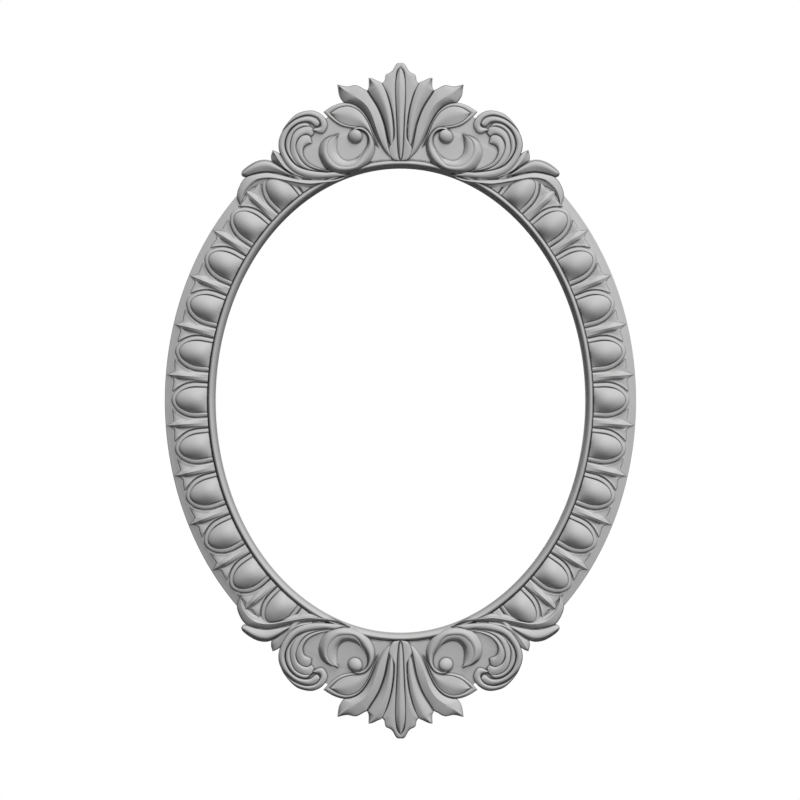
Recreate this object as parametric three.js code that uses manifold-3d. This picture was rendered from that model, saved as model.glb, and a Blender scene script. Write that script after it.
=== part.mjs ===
// A carved oval picture frame, in millimetres, +Z up, its front facing -Y.
// Four quarter rails make the oval ring. Two runs of egg and dart are let into a channel in its face,
// and a crest of carved leaves and scrolls stands at the top and again, turned over, at the bottom.
// The back carries turn buttons, a ring hanger and two bumpers. The origin is where a wall hook
// bears in the hanger ring.
import * as THREE from "three";
import { mergeVertices } from "three/addons/utils/BufferGeometryUtils.js";
import Module from "manifold-3d";

const wasm = await Module();
wasm.setup();

// The ring. Depths are measured forward from the flat back of the rails.
const SIGHT_WIDTH = 399;
const SIGHT_HEIGHT = 501;
const FACE_AT_SIDES = 55;
const FACE_AT_TOP = 57.4;
const RAIL_THICKNESS = 19;
const BEAD_WIDTH = 9.3;
const BEAD_RISE = 5;
const BEAD_LINE = [[0, -0.2], [0.1, 0.5], [0.27, 0.9], [0.53, 1], [0.8, 0.68], [1, 0]];
const FLAT_BAND = 6.9;
const EDGE_BEVEL = 0.8;
const REBATE_LIP = 6;
const REBATE_DEPTH = 11;
const CHANNEL_DEPTH = 3;
const CLEARANCE = 0.3;
const RAIL_STEPS = 12;

// The loose tongues that lock the four rails end to end.
const TONGUE_LENGTH = 24;
const TONGUE_THICKNESS = 4;
const TONGUE_INSET = 13;
const TONGUE_COVER = 3;

// The egg and dart run.
const EGGS_IN_RING = 32;
const EGGS_EACH_SIDE = 11;
const SHELL_HALF_WIDTH = 20.6;
const SHELL_RISE = 4.2;
const SHELL_RIM = 5;
const SHELL_END_RATIO = 0.9;
const EGG_RISE = 9;
const EGG_SHOULDER = 22;
const SHELL_MARGIN = 1.2;
const RUN_ROOT = 1;
const DART_RISE = 5.4;
const DART_HALF_WIDTH = 4.4;
const BARB_REACH = 11;
const BARB_INSET = 2.9;
const DART_TIP_INSET = 2.4;

// The crests.
const CREST_BOARD_THICKNESS = 14;
const CARVING_DRAFT = 0.9;
const ROUND_END_SHARE = 0.25;
const PALMETTE_RISE = 11;
const RIB_RISE = 13;
const RIB_SEAT = 3;
const CALYX_RISE = 8;
const SCROLL_RISE = 11;
const EYE_RADIUS = 8;
const EYE_RISE = 12;
const EYE_SIDES = 8;
const FEATHER_RISE = 9.5;
const SPRAY_RISE = 9.5;
const DOWEL_RADIUS = 3;
const DOWEL_LENGTH = 26;
const DOWEL_SPREAD = 60;
const DOWEL_DEPTH = 11;

// The hardware on the back.
const BUTTON_ANGLE = 42;
const BUTTON_LENGTH = 32;
const BUTTON_WIDTH = 11;
const BUTTON_THICKNESS = 1.6;
const BUTTON_OVERHANG = 4;
const SCREW_RADIUS = 1.6;
const SCREW_LENGTH = 12;
const SCREW_POINT = 1.5;
const SCREW_HEAD_RADIUS = 3.4;
const SCREW_HEAD_RISE = 1.5;
const HANGER_WIDTH = 46;
const HANGER_HEIGHT = 13;
const HANGER_THICKNESS = 1.2;
const HANGER_SCREW_SPREAD = 16;
const HANGER_DROP = 30;
const RING_WIRE = 2.4;
const RING_WIDTH = 24;
const RING_HEIGHT = 20;
const RING_CORNER = 4;
const KNUCKLE_WIDTH = 12;
const KNUCKLE_WALL = 1;
const BUMPER_RADIUS = 6;
const BUMPER_ANGLE = 24;

// The ring that the carver's drawing was made on. On another ring each point keeps its angle and
// its share of the face, so these say how the drawing is read, and aren't sizes to set.
const drawn = { sight: [199.5, 250.5], face: [55, 57.4] };

const outerHalfWidth = SIGHT_WIDTH / 2 + FACE_AT_SIDES;
const outerHalfHeight = SIGHT_HEIGHT / 2 + FACE_AT_TOP;
const faceRatio = FACE_AT_TOP / FACE_AT_SIDES;
const ground = RAIL_THICKNESS;
const channelInner = BEAD_WIDTH;
const channelOuter = FACE_AT_SIDES - FLAT_BAND;
const channelFloor = ground - CHANNEL_DEPTH;
const aboveCarvings = 40;
const belowFace = 6;

const degrees = (value) => (value * Math.PI) / 180;
const mix = (a, b, t) => a + (b - a) * t;

// A point of the frame: x to the right, forward from the back of the rails, z up.
const at = (x, forward, z) => new THREE.Vector3(x, -forward, z);

// The point of the ring at an eccentric angle, a distance out from the sight edge.
function ringPoint(angle, out) {
  const x = (SIGHT_WIDTH / 2 + out) * Math.cos(angle);
  const z = (SIGHT_HEIGHT / 2 + out * faceRatio) * Math.sin(angle);
  return [Math.abs(x) < 1e-6 ? 0 : x, Math.abs(z) < 1e-6 ? 0 : z];
}

// A geometry from corners and triangles, its like corners merged and its empty triangles dropped.
function solidGeometry(corners, triangles) {
  const geometry = new THREE.BufferGeometry();
  const flat = triangles.flat().flatMap((index) => corners[index].toArray());
  geometry.setAttribute("position", new THREE.Float32BufferAttribute(flat, 3));
  return tidyGeometry(geometry);
}

function tidyGeometry(source) {
  const bare = source.clone();
  bare.deleteAttribute("normal");
  bare.deleteAttribute("uv");
  const merged = mergeVertices(bare, 1e-4);
  const old = merged.index.array;
  const kept = [];
  for (let i = 0; i < old.length; i += 3) {
    const [a, b, c] = [old[i], old[i + 1], old[i + 2]];
    if (a !== b && b !== c && c !== a) kept.push(a, b, c);
  }
  merged.setIndex(kept);
  return merged;
}

const solidOf = (geometry) => {
  const tidy = tidyGeometry(geometry);
  return new wasm.Manifold(
    new wasm.Mesh({
      numProp: 3,
      vertProperties: new Float32Array(tidy.attributes.position.array),
      triVerts: new Uint32Array(tidy.index.array),
    }),
  );
};

function geometryOf(solid) {
  const { vertProperties, triVerts } = solid.getMesh();
  const geometry = new THREE.BufferGeometry();
  geometry.setAttribute("position", new THREE.BufferAttribute(vertProperties, 3));
  geometry.setIndex(new THREE.BufferAttribute(triVerts, 1));
  return geometry;
}

const joined = (solids) => solids.reduce((all, next) => all.add(next));
const cut = (solid, tools) => tools.reduce((left, tool) => left.subtract(tool), solid);

// A closed solid through like-numbered outlines, its ends capped, or run round into a closed ring.
function loft(outlines, { closed = false } = {}) {
  const count = outlines[0].length;
  const corners = outlines.flat();
  const triangles = [];
  const last = closed ? outlines.length : outlines.length - 1;
  for (let i = 0; i < last; i++) {
    const here = i * count;
    const next = ((i + 1) % outlines.length) * count;
    for (let j = 0; j < count; j++) {
      const k = (j + 1) % count;
      triangles.push([here + j, next + j, next + k], [here + j, next + k, here + k]);
    }
  }
  if (!closed) {
    for (const [outline, start, turned] of [
      [outlines[0], 0, false],
      [outlines.at(-1), corners.length - count, true],
    ]) {
      for (const [a, b, c] of capTriangles(outline)) {
        triangles.push(turned ? [start + a, start + c, start + b] : [start + a, start + b, start + c]);
      }
    }
  }
  const geometry = solidGeometry(corners, triangles);
  return signedVolume(geometry) < 0 ? turnedRound(geometry) : geometry;
}

// The triangles of a flat outline, wound as the outline is.
function capTriangles(outline) {
  const normal = new THREE.Vector3();
  outline.forEach((point, i) => normal.add(point.clone().cross(outline[(i + 1) % outline.length])));
  if (normal.length() < 1e-9) return [];
  normal.normalize();
  const across = outline
    .map((point) => point.clone().sub(outline[0]))
    .reduce((best, edge) => (edge.length() > best.length() ? edge : best));
  const u = across.clone().addScaledVector(normal, -across.dot(normal)).normalize();
  const v = normal.clone().cross(u);
  const flat = outline.map((point) => new THREE.Vector2(point.dot(u), point.dot(v)));
  return THREE.ShapeUtils.triangulateShape(flat, []);
}

function signedVolume(geometry) {
  const place = geometry.attributes.position;
  const index = geometry.index.array;
  const [a, b, c] = [new THREE.Vector3(), new THREE.Vector3(), new THREE.Vector3()];
  let total = 0;
  for (let i = 0; i < index.length; i += 3) {
    a.fromBufferAttribute(place, index[i]);
    b.fromBufferAttribute(place, index[i + 1]);
    c.fromBufferAttribute(place, index[i + 2]);
    total += a.dot(b.cross(c)) / 6;
  }
  return total;
}

function turnedRound(geometry) {
  const index = Array.from(geometry.index.array);
  for (let i = 0; i < index.length; i += 3) [index[i + 1], index[i + 2]] = [index[i + 2], index[i + 1]];
  geometry.setIndex(index);
  return geometry;
}

// The same solid on the other side of the frame's centre lines.
function mirrored(geometry, sideX, sideZ) {
  const copy = geometry.clone().applyMatrix4(new THREE.Matrix4().makeScale(sideX, 1, sideZ));
  return sideX * sideZ < 0 ? turnedRound(copy) : copy;
}

// A profile of [out, forward] corners swept round the ring between two eccentric angles.
function sweptRing(profile, from, to, steps) {
  const outlines = [];
  for (let i = 0; i <= steps; i++) {
    const angle = mix(from, to, i / steps);
    outlines.push(
      profile.map(([out, forward]) => {
        const [x, z] = ringPoint(angle, out);
        return at(x, forward, z);
      }),
    );
  }
  return loft(outlines);
}

// A round bar between two points.
function bar(from, to, radius, sides = 10) {
  const along = to.clone().sub(from);
  const geometry = new THREE.CylinderGeometry(radius, radius, along.length(), sides);
  geometry.applyQuaternion(
    new THREE.Quaternion().setFromUnitVectors(new THREE.Vector3(0, 1, 0), along.clone().normalize()),
  );
  return geometry.translate(...from.clone().add(to).multiplyScalar(0.5).toArray());
}

function block(low, high) {
  const size = high.clone().sub(low);
  const middle = low.clone().add(high).multiplyScalar(0.5);
  return new THREE.BoxGeometry(Math.abs(size.x), Math.abs(size.y), Math.abs(size.z)).translate(
    ...middle.toArray(),
  );
}

// A point of the carver's drawing, x out from the centre line and z up from the middle: its share
// of the drawn ring's face is found by halving, and then its angle.
function drawnPoint([x, z]) {
  const reach = (share) => [0, 1].map((i) => drawn.sight[i] + share * drawn.face[i]);
  let [low, high] = [-1, 3];
  while (high - low > 1e-9) {
    const middle = (low + high) / 2;
    const [a, b] = reach(middle);
    if (Math.hypot(x / a, z / b) > 1) low = middle;
    else high = middle;
  }
  const [a, b] = reach(low);
  const [across, up] = ringPoint(Math.atan2(z / b, x / a), low * FACE_AT_SIDES);
  return new THREE.Vector3(across, 0, up);
}

const drawnLine = (points) =>
  new THREE.CatmullRomCurve3(points.map(drawnPoint), false, "centripetal");

// A value read off a list of [place, value] steps.
function read(steps, place) {
  const next = steps.findIndex(([where]) => where >= place);
  if (next <= 0) return steps[next === 0 ? 0 : steps.length - 1][1];
  const [[a, low], [b, high]] = [steps[next - 1], steps[next]];
  return mix(low, high, (place - a) / (b - a));
}

// Sections across a carved band between its two drawn edges. Each section is the two edge points,
// the way from the second to the first, and the points between them. A round end has one more.
function bandSections({ left, right, ridge, stations, roundEnd, across }) {
  const [lineA, lineB] = [drawnLine(left), drawnLine(right)];
  const spine = ridge && drawnLine(ridge);
  const sections = [];
  let outward = new THREE.Vector3(1, 0, 0);
  const places = Array.from({ length: stations + 1 }, (_, i) => i / stations);
  if (roundEnd) places.splice(stations, 0, 1 - ROUND_END_SHARE / stations);
  const widths = places.map((t) => lineA.getPointAt(t).sub(lineB.getPointAt(t)));
  places.forEach((t, i) => {
    const [a, b] = [lineA.getPointAt(t), lineB.getPointAt(t)];
    const wide = widths[i].length() > 0.4;
    const near = widths[Math.min(Math.max(i, 1), widths.length - 2)];
    outward = (wide ? widths[i] : near).clone().normalize();
    const crest = spine ? spine.getPointAt(t) : null;
    const between = across.map(([share]) => {
      if (!crest) return a.clone().lerp(b, share);
      return share < 0.5 ? a.clone().lerp(crest, share * 2) : crest.clone().lerp(b, share * 2 - 1);
    });
    sections.push({ a, b, t, outward, between, wide });
  });
  return sections;
}

// A carved band: its top follows the rises across and along it, and its walls flare to the ground.
function carvedBand(shape, floor = 0) {
  const outlines = bandSections(shape).map(({ a, b, t, outward, between, wide }) => {
    const rise = read(shape.along, t) * shape.rise;
    const edge = shape.across[0][1];
    const tops = between.map((point, i) => {
      const share = wide ? shape.across[i][1] : edge;
      return at(point.x, ground + rise * share, point.z);
    });
    const footA = a.clone().addScaledVector(outward, CARVING_DRAFT);
    const footB = b.clone().addScaledVector(outward, -CARVING_DRAFT);
    return [at(footA.x, ground + floor, footA.z), ...tops, at(footB.x, ground + floor, footB.z)];
  });
  return loft(outlines);
}

// The room that a carved band takes from its neighbours: its foot grown by the clearance.
function bandRoom(shape, floor = -1) {
  const spread = CARVING_DRAFT + CLEARANCE;
  const sections = bandSections(shape);
  const outlines = sections.map(({ a, b, outward }, i) => {
    const ahead = sections[Math.min(i + 1, sections.length - 1)];
    const behind = sections[Math.max(i - 1, 0)];
    const way = ahead.a.clone().add(ahead.b).sub(behind.a).sub(behind.b).normalize();
    const past = i === 0 ? -CLEARANCE : i === sections.length - 1 ? CLEARANCE : 0;
    const [p, q] = [a.clone(), b.clone()];
    p.addScaledVector(outward, spread).addScaledVector(way, past);
    q.addScaledVector(outward, -spread).addScaledVector(way, past);
    return [
      at(p.x, ground + floor, p.z),
      at(p.x, ground + aboveCarvings, p.z),
      at(q.x, ground + aboveCarvings, q.z),
      at(q.x, ground + floor, q.z),
    ];
  });
  return loft(outlines);
}

// Ways that a band's surface rises across it, from its first edge to its second.
const ROUND = [[0, 0.55], [0.45, 1], [1, 0.6]];
const ROLLED = [[0, 0.4], [0.4, 0.9], [0.75, 1], [1, 0.65]];
const HOLLOW = [[0, 0.55], [0.4, 0.5], [1, 0.85]];
const RIDGED = [[0, 0.45], [0.5, 1], [1, 0.45]];
const PANELLED = [[0, 0.95], [0.2, 0.6], [0.5, 0.95], [0.8, 0.6], [1, 0.95]];
const TAPERED = [[0, 0.55], [0.2, 0.85], [0.5, 1], [0.85, 0.95], [1, 0.7]];

// The bands of each carving, drawn in the upper left quarter.
const palmetteBands = [
  {
    left: [[0, 258.7], [7, 262.1], [9.7, 270.8], [7.4, 280.5], [6.8, 291.3], [9.6, 314],
      [14.5, 331.8], [19.5, 342.9], [17.5, 344.8], [15.7, 351.9], [11.1, 354.3], [8.5, 356.7],
      [3.7, 364.1], [0, 365.5]],
    right: [[0, 258.7], [0, 365.5]],
    stations: 7,
    rise: PALMETTE_RISE,
    across: [[0, 0.6], [0.5, 0.8], [1, 0.85]],
    along: TAPERED,
  },
  {
    left: [[11, 275.5], [13.3, 278.9], [17.5, 298.3], [23.8, 315.6], [34.2, 332.3], [35.8, 335.2],
      [34.4, 338.3], [34.4, 348.5]],
    right: [[11, 275.5], [8.3, 278.3], [10.2, 314], [20.3, 343.1], [23.7, 344.8], [31.3, 348.2],
      [34.4, 348.5]],
    stations: 5,
    rise: PALMETTE_RISE,
    across: ROUND,
    along: TAPERED,
  },
  {
    left: [[9.1, 260.7], [15.6, 265.4], [22.6, 275.6], [36.4, 306.9], [45.9, 317.6], [56.7, 321.7],
      [60.4, 321.9], [65.5, 328.5], [67.9, 341.2]],
    right: [[9.1, 260.7], [13.5, 276.2], [18.1, 298.1], [24.5, 315.3], [34.9, 332.1], [36.8, 335.2],
      [39.2, 336.2], [48, 340.5], [57.7, 339.1], [67.9, 341.2]],
    ridge: [[9.1, 260.7], [17.8, 274], [24.3, 289.1], [31.8, 310.7], [39.4, 321.5], [59.9, 335],
      [67.9, 341.2]],
    stations: 6,
    rise: PALMETTE_RISE,
    across: RIDGED,
    along: TAPERED,
  },
];

const ribBand = {
  left: [[0, 258.9], [1.9, 264.3], [4.1, 303.2], [5.3, 344.2], [2.1, 358.2], [0, 360.1]],
  right: [[0, 258.9], [-1.9, 264.3], [-4.1, 303.2], [-5.3, 344.2], [-2.1, 358.2], [0, 360.1]],
  stations: 5,
  rise: RIB_RISE,
  across: [[0, 0.75], [0.3, 0.97], [0.7, 0.97], [1, 0.75]],
  along: TAPERED,
};

const calyxBands = [
  {
    left: [[31.5, 294], [33, 299.4], [41, 312.9], [51.3, 320.4], [67.5, 320.7], [83.2, 312]],
    right: [[34, 290], [37.2, 290.5], [43.7, 292.4], [65.3, 296.9], [75, 303.7], [83.2, 312]],
    stations: 6,
    rise: CALYX_RISE,
    across: PANELLED,
    along: TAPERED,
  },
];

const scrollBands = [
  {
    left: [[52.3, 293.1], [49.6, 295.8], [40.5, 296], [32, 289.1], [27.8, 278.9], [28, 268.1],
      [32.9, 257.5], [42.6, 248.8], [55.6, 243.8], [70.7, 244.2], [81.2, 250.2], [88, 262.1],
      [89.1, 268.6], [86.2, 279.4], [77.5, 286.2], [66.7, 287.7]],
    right: [[46.4, 291.1], [42.6, 291.1], [36.7, 285.9], [36.4, 276.2], [41.5, 267], [48, 256.7],
      [52.3, 254.2], [64.2, 254], [69.2, 256], [76.5, 263.7], [78.7, 273.5], [75.2, 282.4],
      [66.7, 287.7]],
    stations: 11,
    rise: SCROLL_RISE,
    across: ROLLED,
    along: [[0, 0.8], [0.3, 1], [0.85, 0.9], [1, 0.6]],
  },
  {
    left: [[40.5, 268.1], [47.5, 256.2], [52, 253.5], [64.4, 253.3], [69.8, 255.3], [77.4, 263.4],
      [79.5, 273.5], [75.7, 282.6], [66.7, 287.7]],
    right: [[40.5, 268.1], [45.3, 263.6], [56.1, 260], [61.7, 261], [68.3, 268.6], [68.3, 280.5],
      [66.7, 287.7]],
    stations: 5,
    rise: SCROLL_RISE * 0.75,
    across: HOLLOW,
    along: TAPERED,
  },
];
const scrollEye = [48.8, 284.8];

const featherBands = [
  {
    left: [[129.6, 286.6], [126.3, 294], [115.5, 306.8], [108.5, 311.1], [94.5, 313.1], [83.7, 307.5],
      [79, 297.8], [83.3, 289.1], [87.1, 288.3], [95.5, 292.4]],
    right: [[129.6, 286.6], [123.4, 296], [113.7, 304], [102, 308], [91.2, 305.7], [86.4, 298.5],
      [87.4, 295.8], [93.9, 294], [95.5, 292.4]],
    stations: 7,
    roundEnd: true,
    rise: FEATHER_RISE,
    across: ROUND,
    along: [[0, 0.5], [0.3, 0.8], [0.8, 0.9], [1, 0.7]],
  },
  {
    left: [[54.5, 243.5], [78.3, 240.4], [99.9, 240.9], [116.1, 247.3], [126.9, 260], [131.8, 274.5],
      [129.8, 286.4], [123.4, 295.6], [113.7, 303.5], [102, 307.5], [91.7, 305.3], [87.1, 298.8]],
    right: [[54.5, 243.9], [62.1, 244.7], [69.6, 247.1], [81.5, 246.6], [112.3, 253.8], [124.8, 274],
      [120.1, 291], [110.7, 298.9], [100.4, 300.5], [92.8, 294.8], [87.1, 298.8]],
    stations: 8,
    roundEnd: true,
    rise: FEATHER_RISE,
    across: ROUND,
    along: [[0, 0.6], [0.2, 0.9], [0.8, 1], [1, 0.8]],
  },
  {
    left: [[102, 249.9], [112.3, 254], [123.4, 268.6], [124.3, 280.5], [119.8, 290.6], [110.7, 298.6],
      [100.6, 300], [96.6, 295.3]],
    right: [[102, 249.9], [108, 252.8], [118.7, 269.7], [115, 289.1], [106, 295.2], [96.6, 295.3]],
    stations: 5,
    roundEnd: true,
    rise: FEATHER_RISE * 0.9,
    across: ROUND,
    along: TAPERED,
  },
  {
    left: [[76.1, 247.5], [102, 250.5], [112.4, 257.6], [118.2, 269.7], [114.6, 288.7], [105.8, 294.6],
      [96.6, 294.5], [94.5, 289.1], [97.5, 286.1]],
    right: [[76.1, 248.2], [86.9, 248.2], [103.5, 255.6], [113, 272.9], [110.7, 282.3], [103.1, 287],
      [97.5, 286.1]],
    stations: 6,
    roundEnd: true,
    rise: FEATHER_RISE * 0.82,
    across: ROUND,
    along: TAPERED,
  },
  {
    left: [[73.9, 247.9], [91.2, 250.3], [103.1, 256.2], [112.4, 272.9], [107, 284.8], [99.3, 285.7],
      [96.6, 278.1]],
    right: [[73.9, 248.4], [86.9, 251], [99.9, 257.5], [105.3, 266.4], [104.2, 273.8], [96.6, 278.1]],
    stations: 5,
    roundEnd: true,
    rise: FEATHER_RISE * 0.72,
    across: ROUND,
    along: TAPERED,
  },
];

const sprayBands = [
  {
    left: [[118, 248.4], [133.3, 256.4], [139.5, 259.7], [139, 262.7], [138, 270.5]],
    right: [[118, 248.4], [120.6, 252], [126.9, 259.4], [130.1, 265.8], [138, 270.5]],
    ridge: [[118, 248.4], [125.6, 256.8], [133.3, 264.9], [138, 270.5]],
    stations: 5,
    rise: SPRAY_RISE * 0.85,
    across: RIDGED,
    along: [[0, 0.6], [0.6, 1], [1, 0.7]],
  },
  {
    left: [[119, 242.4], [144.1, 246.8], [157.1, 245.2], [167.3, 241.9], [170.1, 242.7],
      [171.4, 244.8]],
    right: [[119, 242.4], [121.8, 248.2], [133.3, 255.1], [144.1, 259.7], [156, 257.9],
      [170.5, 247.8], [171.4, 244.8]],
    stations: 5,
    roundEnd: true,
    rise: SPRAY_RISE,
    across: ROUND,
    along: [[0, 0.6], [0.5, 0.95], [0.85, 0.9], [1, 0.6]],
  },
  {
    left: [[86, 239.4], [95, 239.8], [112.8, 240], [144.1, 246.3], [157.1, 244.6], [167, 241.1],
      [173.6, 231.9], [176.4, 221.1], [172.3, 206.8]],
    right: [[86, 236.4], [92, 232.4], [102, 229.1], [134.4, 236.7], [147.4, 233.5],
      [160.3, 228.9], [168.4, 220], [172.3, 206.8]],
    ridge: [[86, 238.2], [97.7, 233.8], [140.9, 240.2], [151.7, 239.2], [158.2, 236.2],
      [167.9, 226.5], [172.2, 213.5], [172.3, 206.8]],
    stations: 9,
    rise: SPRAY_RISE,
    across: RIDGED,
    along: [[0, 0.75], [0.15, 0.9], [0.6, 1], [0.9, 0.75], [1, 0.5]],
  },
];

// The crest board behind the carvings that stand past the ring, just inside their outline.
const boardEdge = [[0, 361], [4.8, 358.2], [9.1, 350.7], [18.9, 339.8], [31.3, 344.2], [31.8, 335.5],
  [37.2, 331.3], [45.9, 335.5], [64.2, 334.4], [60.9, 319.9], [79.8, 311], [80, 306.2],
  [91.2, 310], [99.9, 310.8], [108.5, 308.7], [117.1, 303.5], [124.2, 295.5], [128.5, 285.8],
  [129.8, 275], [128.8, 269], [137, 266], [138, 261.8], [146.3, 258.6], [154.9, 257],
  [162.5, 252.3], [167.9, 246.9], [167.4, 244.2]];
const BOARD_FOOT_SHARE = 0.672;

// The bead's profile from the sight edge out, and the room it takes when grown.
const beadLine = (grow) =>
  BEAD_LINE.map(([across, rise]) => [
    BEAD_WIDTH * across + grow * (2 * across - 1),
    ground + BEAD_RISE * rise + grow,
  ]);
const beadRoomProfile = [
  [-1, ground - belowFace],
  ...beadLine(CLEARANCE),
  [BEAD_WIDTH + CLEARANCE, ground - belowFace],
];

// The run's own places: along the ring's outer edge from the left-hand middle, and out from the sight.
const edgeTable = (() => {
  const steps = 1440;
  const table = [[0, Math.PI]];
  let length = 0;
  for (let i = 1; i <= steps; i++) {
    const angle = Math.PI - (i * Math.PI * 2) / steps;
    const [x0, z0] = ringPoint(table.at(-1)[1], FACE_AT_SIDES);
    const [x1, z1] = ringPoint(angle, FACE_AT_SIDES);
    length += Math.hypot(x1 - x0, z1 - z0);
    table.push([length, angle]);
  }
  return table;
})();
const edgeLength = edgeTable.at(-1)[0];

function runPoint(along, out) {
  const place = ((along % edgeLength) + edgeLength) % edgeLength;
  const angle = read(edgeTable, place);
  const x = outerHalfWidth * Math.cos(angle);
  const z = outerHalfHeight * Math.sin(angle);
  const [nx, nz] = [x / outerHalfWidth ** 2, z / outerHalfHeight ** 2];
  const size = Math.hypot(nx, nz);
  const [dx, dz] = [-nx / size, -nz / size];
  const [a, b] = [SIGHT_WIDTH / 2 + out, SIGHT_HEIGHT / 2 + out * faceRatio];
  const p = (dx / a) ** 2 + (dz / b) ** 2;
  const q = (x * dx) / a ** 2 + (z * dz) / b ** 2;
  const r = (x / a) ** 2 + (z / b) ** 2 - 1;
  const way = (-q - Math.sqrt(Math.max(q * q - p * r, 0))) / p;
  return [x + dx * way, z + dz * way];
}

// One egg in its shell: nested outlines that climb from the ground over the rim and up the egg.
// Each outline has straight sides from the bead to the shoulder and a round end.
function eggAndShell(centre) {
  const start = channelInner + CLEARANCE;
  const levels = [
    [0, -RUN_ROOT, -RUN_ROOT],
    [0.8, SHELL_RISE, SHELL_RISE],
    [SHELL_RIM, SHELL_RISE * 0.8, SHELL_RISE * 1.1],
    [SHELL_RIM + 1.6, EGG_RISE * 0.6, EGG_RISE * 0.56],
    [SHELL_RIM + 7, EGG_RISE, EGG_RISE * 0.8],
  ];
  const turns = [-90, -45, 0, 45, 90].map(degrees);
  const outlines = levels.map(([inset, rise, riseAtBead]) => {
    const half = SHELL_HALF_WIDTH - inset;
    const round = channelOuter - SHELL_MARGIN - inset * SHELL_END_RATIO - EGG_SHOULDER;
    const end = turns.map((turn) => [half * Math.sin(turn), EGG_SHOULDER + round * Math.cos(turn)]);
    return [[0, start], [-half, start], ...end, [half, start]].map(([side, out]) => {
      const [x, z] = runPoint(centre + side, out);
      return at(x, ground + (out === start ? riseAtBead : rise), z);
    });
  });
  return solidOf(loft(outlines));
}

// One dart: an anchor with a ridged shaft, its barbs spread between two shells.
function dart(centre) {
  const start = channelInner + CLEARANCE;
  const tip = FACE_AT_SIDES - DART_TIP_INSET;
  const barb = channelOuter - BARB_INSET;
  const place = (side, out, rise) => {
    const [x, z] = runPoint(centre + side, out);
    return at(x, ground + rise, z);
  };
  const sections = [
    [start, DART_HALF_WIDTH, DART_RISE * 0.8, -RUN_ROOT],
    [barb - 10, DART_HALF_WIDTH, DART_RISE, -RUN_ROOT],
    [barb - 1.5, BARB_REACH, DART_RISE, -RUN_ROOT],
    [barb, BARB_REACH * 0.45, DART_RISE * 0.9, -RUN_ROOT],
    [barb + 0.6, BARB_REACH * 0.4, DART_RISE * 0.85, 0],
    [tip, 0.7, 1.6, 0],
  ].map(([out, half, rise, foot]) => [
    place(-half, out, foot),
    place(-half, out, rise * 0.4),
    place(0, out, rise),
    place(half, out, rise * 0.4),
    place(half, out, foot),
  ]);
  return solidOf(loft(sections));
}

// Materials.
const painted = new THREE.MeshStandardMaterial({ color: 0xb4b4b2, roughness: 0.62, metalness: 0 });
const bareWood = new THREE.MeshStandardMaterial({ color: 0xb08a5c, roughness: 0.75, metalness: 0 });
const brass = new THREE.MeshStandardMaterial({ color: 0xc2a15a, roughness: 0.35, metalness: 1 });
const steel = new THREE.MeshStandardMaterial({ color: 0xa8abb0, roughness: 0.35, metalness: 1 });
const felt = new THREE.MeshStandardMaterial({ color: 0x3c3a38, roughness: 0.95, metalness: 0 });

// The ring's wire lies clear of the hanger's plate, and bears on a hook at the top of its inside.
const hangerLine = outerHalfHeight - HANGER_DROP;
const wireDepth = -(HANGER_THICKNESS + 2 * CLEARANCE + RING_WIRE / 2);
const bearing = at(0, wireDepth, hangerLine + RING_HEIGHT - RING_WIRE);

const frame = new THREE.Group();
frame.name = "carved_oval_frame";
const body = new THREE.Group();
body.position.copy(bearing).negate();
frame.add(body);

function addPiece(name, geometry, material) {
  const mesh = new THREE.Mesh(geometry, material);
  mesh.name = name;
  body.add(mesh);
  return mesh;
}

const quarters = ["upper_right", "upper_left", "lower_left", "lower_right"];

// Screw places: turn buttons round the rebate, and two for the hanger.
const buttonAngles = [BUTTON_ANGLE, 180 - BUTTON_ANGLE, 180 + BUTTON_ANGLE, -BUTTON_ANGLE];
const buttonPlaces = quarters.map((name, i) => {
  const angle = degrees(buttonAngles[i]);
  const [x, z] = ringPoint(angle, REBATE_LIP);
  const [nx, nz] = [Math.cos(angle) / (SIGHT_WIDTH / 2), Math.sin(angle) / (SIGHT_HEIGHT / 2)];
  const size = Math.hypot(nx, nz);
  const way = [nx / size, nz / size];
  const back = BUTTON_LENGTH - BUTTON_WIDTH / 2 - BUTTON_OVERHANG;
  return { name, way, x: x + way[0] * back, z: z + way[1] * back };
});
const hangerScrews = [-1, 1].map((side) => ({
  name: side < 0 ? "left" : "right",
  x: side * HANGER_SCREW_SPREAD,
  z: hangerLine - HANGER_HEIGHT / 2,
}));

const screwBores = [...buttonPlaces, ...hangerScrews].map(({ x, z }) =>
  solidOf(bar(at(x, -1, z), at(x, SCREW_LENGTH + 0.6, z), SCREW_RADIUS + CLEARANCE, 8)),
);

// Tongues: each lies across the joint between two rails.
const tongueDepth = channelFloor - TONGUE_THICKNESS - TONGUE_COVER;
function tongueBox(index, grow) {
  const upright = index % 2 === 1;
  const side = index < 2 ? 1 : -1;
  const inner = TONGUE_INSET - grow;
  const half = TONGUE_LENGTH / 2 + grow;
  const low = tongueDepth - grow;
  const high = tongueDepth + TONGUE_THICKNESS + grow;
  const edge = (size, face) => [size / 2 + inner, size / 2 + face - inner];
  const [from, to] = upright ? edge(SIGHT_HEIGHT, FACE_AT_TOP) : edge(SIGHT_WIDTH, FACE_AT_SIDES);
  return upright
    ? block(at(-half, low, side * from), at(half, high, side * to))
    : block(at(side * from, low, -half), at(side * to, high, half));
}
const tongues = ["right", "top", "left", "bottom"];
const tongueSlots = tongues.map((_, i) => solidOf(tongueBox(i, CLEARANCE)));

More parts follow.
